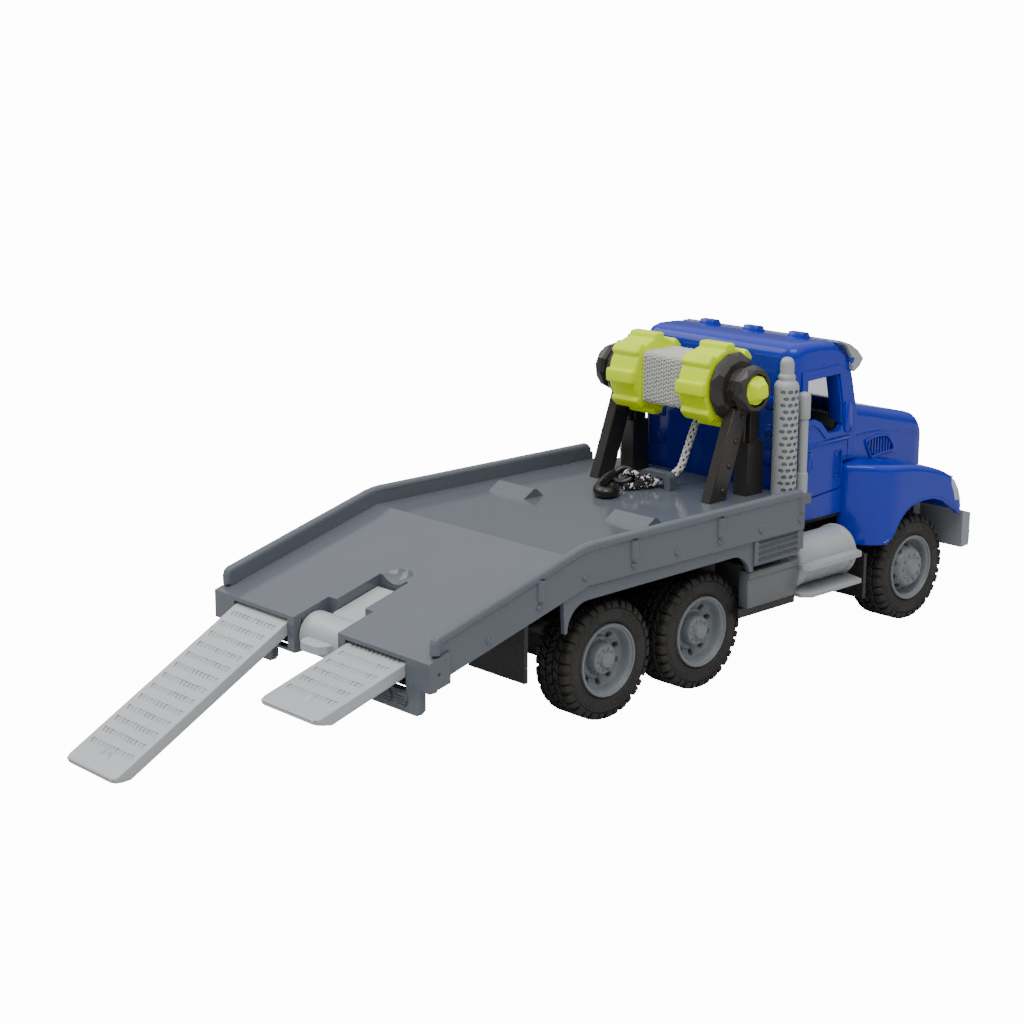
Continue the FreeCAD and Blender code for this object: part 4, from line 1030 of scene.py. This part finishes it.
def cab_look():
    """The hollow cab with its windows, door lines and rear louvres, and the parts that stand proud of it."""
    piece = new_object("cab_look", lofted_body(CAB_ROWS, 45.5), BLUE)
    inner = [(x + 2.0 if x < 103 else x - 1.8, half - 2.0, top - 2.0, max(1.4, corner - 2.0))
             for x, half, top, corner in CAB_ROWS if not 102 < x < 106]
    carve(piece, lofted_body(inner, 40.0))
    carve_sides(piece, WINDOW_FRAME, 35.7, 36.55, "UNION")
    carve_sides(piece, WINDOW, 30.0, 40.0)
    # windscreen, opening to the hood, and room for the wheel arches
    cut(piece, prism, [(128.0, 98.4), (142.0, 98.4), (144.0, 85.2), (130.0, 85.2)], "y", -31.0, 31.0)
    cut(piece, prism, [(133.0, 46.0), (140.0, 46.0), (140.0, 82.0), (133.0, 82.0)], "y", -33.0, 33.0)
    cut(piece, prism, [(128.6, 40.0), (140.0, 40.0), (140.0, 64.4), (128.6, 64.4)], "y", -45.0, 45.0)
    # door line and handle recess
    carve_sides(piece, strip([(131.2, 73.0), (131.2, 61.0), (128.0, 54.6), (107.0, 53.2), (103.0, 56.0),
                              (102.0, 62.0), (102.0, 80.0)], 0.55), 35.3, 37.0)
    carve_sides(piece, [(124.2, 68.0), (127.8, 68.3), (127.8, 59.9), (124.2, 59.6)], 35.5, 37.0)
    for z in (80.0, 83.2, 86.4, 89.6, 92.8):
        cut(piece, block, 98.0, 100.2, -17.0, 17.0, z, z + 1.3)
    trims = bmesh.new()
    for sign, _ in SIDES:
        # belt line, mirror block and hinge
        for points, rise in (([(101.0, 71.6), (131.8, 71.9), (131.8, 73.5), (101.0, 73.2)], 0.55),
                             ([(127.9, 86.2), (130.3, 86.2), (131.9, 84.4), (132.2, 76.0), (131.0, 74.8),
                               (129.0, 74.8), (128.0, 76.4)], 1.3),
                             ([(107.6, 70.2), (110.4, 70.3), (110.4, 64.0), (107.6, 63.8)], 0.9)):
            prism(trims, points, "y", sign * 35.6, sign * (36.0 + rise))
        prism(trims, strip([WINDOW[0], WINDOW[-1]], 1.2), "y", sign * 31.0, sign * 35.6)
        prism(trims, strip(WINDOW[1:4], 1.4), "y", sign * 30.2, sign * 35.9)
        # rim of the handle recess
        proud = span(sign, 35.8, 36.35)
        for z in (59.2, 68.0):
            block(trims, 123.6, 128.4, *proud, z, z + 0.7)
        for x in (123.6, 127.7):
            block(trims, x, x + 0.7, *proud, 59.2, 68.7)
        rod(trims, (130.4, 0, 101.0), 1.06, "y", *span(sign, 34.4, 37.3), 20)
    for y in (-26.0, 26.0):
        for z in (76.0, 66.0, 86.0):
            block(trims, 98.9, 99.9, y - 2.2, y + 2.2, z, z + 4.4)
    for y in (-21.0, 0.0, 21.0):
        prism(trims, [(117.6, 108.7), (118.3, 110.6), (121.6, 110.4), (122.8, 108.2), (121.5, 107.6),
                      (117.6, 107.8)], "y", y - 3.4, y + 3.4)
    extra = bevelled(new_object("cab_trims", trims, BLUE), 0.35, 3, weld=False, flatten=False)
    shade_edges(extra.data, 40.0)
    return [soften(piece), extra]


HOOD_ROWS = [
    (134.6, 35.4, 84.1, 4.4), (148.0, 34.8, 81.3, 4.5), (160.0, 34.2, 78.6, 4.7),
    (170.0, 33.7, 76.5, 4.9), (176.0, 33.4, 75.0, 5.2), (178.2, 33.1, 74.2, 5.5),
    (179.4, 32.9, 73.1, 5.6), (180.1, 32.7, 71.7, 5.5), (180.4, 32.3, 70.2, 5.2)
]
VENT = [(142.9, 69.3), (148.0, 70.1), (153.6, 70.0), (157.8, 68.6), (161.2, 63.6), (154.0, 63.2),
        (147.2, 62.9), (145.0, 65.6)]


def hood_side(x, from_middle=35.5):
    """How far the hood's side is from the mid-plane, as it narrows towards the front."""
    return from_middle - 0.05 * (x - 136.0)


def hood_look():
    """The hollow hood with its grille opening, slatted side vents and a ridge along each side."""
    piece = new_object("hood_look", lofted_body(blended(HOOD_ROWS, 4), 45.0), BLUE)
    inner = [(x - 2.0 if x > 178 else x - 0.5, half - 2.0, top - 2.0, corner - 1.5)
             for x, half, top, corner in HOOD_ROWS[1:]]
    carve(piece, lofted_body([(132.0, 33.4, 82.2, 3.5)] + inner, 40.0))
    cut(piece, block, 176.0, 182.0, -24.0, 24.0, 47.0, 66.0)
    trims = bmesh.new()
    for sign, _ in SIDES:
        cut(piece, prism, VENT, "y", sign * 33.0, sign * 38.0)
        rim = [(x, sign * hood_side(x), z) for x, z in VENT]
        tube(trims, smooth_path(rim + [rim[0]], 5), 0.62, 10)
        for i in range(8):
            x = 145.4 + 1.85 * i
            y = hood_side(x)
            low, high = max(63.2, 66.4 - 2.4 * i), min(69.8, 70.0 - 1.3 * (i - 5))
            block(trims, x, x + 0.8, *span(sign, y - 1.4, y), low, high)
        prism(trims, VENT, "y", sign * 32.0, sign * 32.9)
        ridge = [(136.5, 72.9), (146.0, 72.8), (156.0, 72.0), (166.0, 70.2), (172.0, 69.0), (177.0, 67.2)]
        tube(trims, smooth_path([(x, sign * hood_side(x, 35.1), z) for x, z in ridge], 5), 0.7, 10)
    return [soften(piece), new_object("hood_trims", trims, BLUE, 35.0)]


# x, distance of the outer side from the mid-plane, lower edge, top
WING_ROWS = [
    (128.7, 36.3, 40.6, 63.2), (130.0, 38.6, 37.2, 63.6), (131.6, 41.0, 33.5, 63.8),
    (133.6, 43.6, 33.3, 63.9), (135.4, 45.7, 33.3, 63.9), (137.2, 47.2, 33.3, 63.8),
    (139.0, 48.5, 33.4, 63.7), (140.2, 49.2, 34.0, 63.6), (141.6, 49.7, 35.6, 63.5),
    (143.8, 50.0, 39.0, 63.3), (146.4, 50.1, 42.2, 63.0), (149.6, 50.1, 44.6, 62.6),
    (153.6, 50.1, 46.2, 62.0), (158.0, 50.1, 46.8, 61.1), (162.3, 50.1, 46.8, 60.1),
    (167.0, 50.1, 46.4, 58.9), (171.6, 50.1, 45.0, 57.4), (175.2, 50.1, 43.0, 55.9),
    (178.0, 50.1, 41.2, 54.4), (180.2, 50.1, 39.8, 52.6), (182.0, 50.05, 38.6, 50.0),
    (183.4, 49.9, 37.8, 47.0), (184.4, 49.5, 37.4, 44.2), (185.0, 48.7, 37.3, 41.6)
]


def wing_rings(bm, sign, wall):
    """The wing's cross-sections: a curved panel, or a solid filled in to the hood without a wall."""
    rings = []
    for x, out, low, top in WING_ROWS:
        soft = max(0.4, min(2.6, (out - 31.5) * 0.5))
        drop = max(0.3, min(2.6, (top - low) * 0.5))
        row = [(31.0, top)]
        top -= 0.9
        row += [(out - soft + soft * sin(a), top - drop + drop * cos(a))
                for a in (pi / 2 * i / 8 for i in range(9))]
        row += [(out, low + 0.5), (out - 0.2, low + 0.12), (out - 0.6, low)]
        if wall:
            inner = max(0.2, soft - 1.0)
            row += [(out - 2.0, low), (out - 2.0, max(low + 0.05, top - drop))]
            row += [(out - 2.0 - inner + inner * cos(a),
                     max(low + 0.1, top - drop) + max(0.1, drop - 2.0) * sin(a))
                    for a in (pi / 2 * i / 6 for i in range(1, 7))]
            row += [(31.0, max(low + 0.15, top - 2.0))]
        else:
            row += [(31.0, low)]
        rings.append([(x, sign * y, z) for y, z in row])
    skin(bm, rings)


def lamp_outline(gap):
    """The headlight's edge in x and z, smaller by the gap than the opening in the wing."""
    return [(178.0 + gap, 53.4 - gap), (176.9 + gap, 52.2), (176.9 + gap, 50.4 + gap),
            (178.4 + gap, 47.4 + gap), (179.9 + gap, 43.4 + gap), (192.0, 43.4 + gap), (192.0, 53.4 - gap)]


def wing_look(sign, side):
    piece = new_object("wing_look_" + side, shape(wing_rings, sign, True), BLUE)
    cut(piece, prism, lamp_outline(0.0), "y", sign * 38.0, sign * 55.0)
    lip = [(x, sign * (out - 0.45), low + 0.6) for x, out, low, top in WING_ROWS if 138.0 < x < 184.0]
    trims = shape(tube, smooth_path(lip, 3), 0.7, 10)
    return [soften(piece, 50.0), new_object("wing_lip_" + side, trims, BLUE, 35.0)]


def headlight_look(sign, side):
    """A hollow clear lens that carries on the wing's surface, with flutes across its inside."""
    lens = new_object("headlight_look_" + side, shape(wing_rings, sign, False), LENS)
    carve(lens, shape(prism, lamp_outline(0.1), "y", sign * 38.1, sign * 55.0), "INTERSECT")
    cut(lens, block, 176.0, 181.6, *span(sign, 37.0, 48.4), 44.4, 52.4)
    flutes = bmesh.new()
    for i in range(6):
        rod(flutes, (180.9, sign * 44.0, 45.0 + 1.45 * i), 0.34, "y", *span(sign, 39.4, 47.8), 8)
    return [soften(lens, 50.0), new_object("headlight_flutes_" + side, flutes, LENS, 35.0)]


for piece in cab_look():
    place(piece, "chassis", "cab_blue", "cab_shell")
for piece in hood_look():
    place(piece, "chassis", "cab_blue", "hood_and_fenders")
for sign, side in SIDES:
    for piece in wing_look(sign, side):
        place(piece, "chassis", "cab_blue", "hood_and_fenders")
    for piece in headlight_look(sign, side):
        place(piece, "chassis", "clear", "headlights")


# ---- stacks, tanks, boxes and side panels ----
FIRST_HOLE = 218.9       # where each row of holes starts, in degrees round the stack


def stack_look(sign, side):
    """An exhaust pipe in a perforated heat shield. The holes leave a plain strip down one side."""
    x, y = 95.0, sign * 36.5
    profile = [
        (0.0, BED_Z), (4.4, BED_Z), (4.4, 95.8), (4.25, 96.6), (3.8, 97.4), (3.25, 97.9), (2.95, 98.1),
        (2.9, 98.5), (3.05, 98.9), (3.0, 99.6), (2.7, 100.1), (2.45, 100.4), (2.5, 103.6),
        (2.35, 104.6), (1.9, 105.5), (1.1, 106.05), (0.0, 106.2)
    ]
    piece = new_object("stack_look_" + side, shape(turned, profile, (x, y, 0), "z", 72), TRIM)
    holes = bmesh.new()
    for row in range(16):
        middle = Vector((x, y, 60.0 + 2.3 * row))
        for k in range(9):
            a = radians(FIRST_HOLE + 34.0 * k - 15.0 * (row % 2))
            out = Vector((cos(a), -sign * sin(a), 0.0))
            along_wall = Vector((-out.y, out.x, 0.0))
            skin(holes, [[middle + out * r + along_wall * (0.98 * u) + Vector((0, 0, 0.72 * v))
                          for u, v in circle(1.0, 12)] for r in (3.3, 5.2)])
    carve(piece, holes)
    return soften(piece, 30.0)


def pipe_look(sign, side):
    """The thin air pipe behind the stack, with a thicker sleeve at each end and its bracket."""
    bm = bmesh.new()
    turned(bm, [(0.0, 57.4), (2.1, 57.4), (2.1, 64.2), (1.95, 64.7), (1.7, 64.8), (1.7, 83.8), (2.1, 83.9),
                (2.3, 84.3), (2.3, 91.4), (2.15, 92.3), (1.6, 93.0), (0.8, 93.35), (0.0, 93.4)],
           (102.4, sign * 38.6, 0), "z", 40)
    bracket = [(98.2, 31.6), (99.3, 31.6), (99.3, 36.3), (105.1, 36.3), (105.1, 40.9), (98.2, 40.9)]
    prism(bm, [(x, sign * y) for x, y in bracket[::sign]], "z", 53.7, 57.3)
    return new_object("air_pipe_look_" + side, bm, TRIM, 35.0)


def tank_look():
    """Fuel tank with a rolled band at each end and a step plate above and below."""
    tank = bmesh.new()
    turned(tank, [(0.0, 89.6), (7.9, 89.6), (8.6, 90.0), (9.1, 90.7), (9.3, 91.2), (9.3, 92.6), (9.1, 92.9),
                  (8.75, 93.1), (8.75, 117.9), (9.1, 118.1), (9.3, 118.4), (9.3, 120.0), (9.1, 120.5),
                  (8.6, 121.1), (7.9, 121.5), (0.0, 121.5)], (0, 41.0, 34.2), "x", 96)
    block(tank, 96.0, 114.0, 13.1, 33.0, 29.1, 32.9)
    steps = bmesh.new()
    prism(steps, [(89.4, 46.0), (122.4, 46.0), (119.7, 53.1), (91.4, 53.1), (89.4, 50.8)], "z", 33.7, 35.8)
    prism(steps, [(89.4, 42.0), (123.4, 42.0), (120.2, 53.1), (92.4, 53.1), (89.4, 50.3)], "z", 23.9, 25.6)
    plates = new_object("tank_steps_look_left", steps, TRIM)
    return [new_object("tank_look_left", tank, TRIM, 35.0), bevelled(plates, 0.25, weld=False, flatten=False)]


def box_look():
    """Toolbox with a lid that stands a little proud."""
    piece = new_object("toolbox_look_left", shape(block, 61.3, 87.2, 45.9, 50.1, 25.7, 38.5), BOX)
    add(piece, block, 67.0, 87.2, 30.1, 46.0, 25.7, 38.5)
    add(piece, block, 61.3, 87.2, 49.0, 50.55, 36.0, 38.5)
    bevelled(piece, 0.3, 3)
    shade_edges(piece.data, 40.0)
    return [piece]


def panel_look():
    """The CAD's side panel, with four scooped louvres."""
    mesh = nodes["side_panel_left"].data.copy()
    mesh.materials.clear()
    mesh.materials.append(SIDE)
    piece = linked("panel_look_left", mesh)
    weld_and_flatten(piece)
    add(settle(piece), block, 63.4, 84.6, 50.4, 51.9, 41.6, 49.3)
    scoop = ((64.0, 0.3), (64.15, 0.55), (64.6, 0.8), (65.2, 0.92), (83.6, 0.92), (84.2, 0.8), (84.65, 0.55),
             (84.8, 0.3))
    for z in (42.7, 44.8, 46.9, 49.0):
        cut(piece, tube, [(x, 51.95, z) for x, _ in scoop], [r for _, r in scoop], 20)
    return [soften(piece, 30.0)]


RAIL_PATH = (
    (-79.2, 41.3), (-79.2, 44.0), (-78.9, 44.9), (-78.2, 45.4), (-50.0, 53.18), (-21.6, 61.1),
    (-18.0, 61.85), (-14.6, 62.08), (30.0, 62.1), (84.2, 62.1), (85.3, 61.8), (85.9, 61.0), (86.0, 55.6)
)
# x, lowest and highest point of each post, and x and z of each rivet
POSTS = ((-37.9, 49.8, 56.0), (2.8, 55.0, 61.0), (43.9, 55.0, 61.0))
RIVETS = ((-59.4, 41.4), (-38.6, 47.2), (-19.1, 52.8), (2.7, 52.6), (23.0, 52.8), (43.6, 52.8), (64.6, 52.8),
          (85.2, 52.9))


def rail_trims():
    """The round top rail, its half-round posts and the rivet heads, with smooth surfaces."""
    bm = bmesh.new()
    tube(bm, [(x, 51.2, z) for x, z in RAIL_PATH], 1.67, 24)
    for x, low, high in POSTS:
        turned(bm, [(0.0, low - 1.45), (0.75, low - 1.25), (1.2, low - 0.8), (1.44, low), (1.45, high),
                    (0.0, high)], (x, 52.0, 0), "z", 24)
    for x, z in RIVETS:
        dome(bm, x, 52.1, z, 1.0, 0.75, 16)
    return new_object("rail_trims_left", bm, SIDE, 50.0)


for sign, side in SIDES:
    place(stack_look(sign, side), "chassis", "trim_grey", "exhaust_stack_" + side)
    place(pipe_look(sign, side), "chassis", "trim_grey", "air_pipes")
for pieces, slot, node in ((tank_look(), "trim_grey", "fuel_tank_step_SIDE"),
                           (box_look(), "trim_grey", "toolbox_SIDE"),
                           (panel_look(), "bed_grey", "side_panel_SIDE")):
    for piece in pieces:
        place_pair(piece, "chassis", slot, node)
place_pair(rail_trims(), "chassis", "bed_grey")


# ---- carried-over CAD pieces ----
# the nodes that look unlike the rest of their slot; the ramp pins take the dark interior plastic as painted
# shade in the gap between the ramps and the rear wall
NODE_LOOKS = {"side_rail_left": SIDE, "side_rail_right": SIDE, "side_panel_left": SIDE,
              "side_panel_right": SIDE, "tail_lamps": SIDE, "ramp_pin_left": DARK, "ramp_pin_right": DARK}


def dress_nodes():
    slots = {part["node"]: part["material_slot"] for part in frame["record"]["subparts"]}
    for name, node in nodes.items():
        node.data.materials.clear()
        node.data.materials.append(NODE_LOOKS.get(name) or SLOT_LOOKS[slots[name]])


dress_nodes()
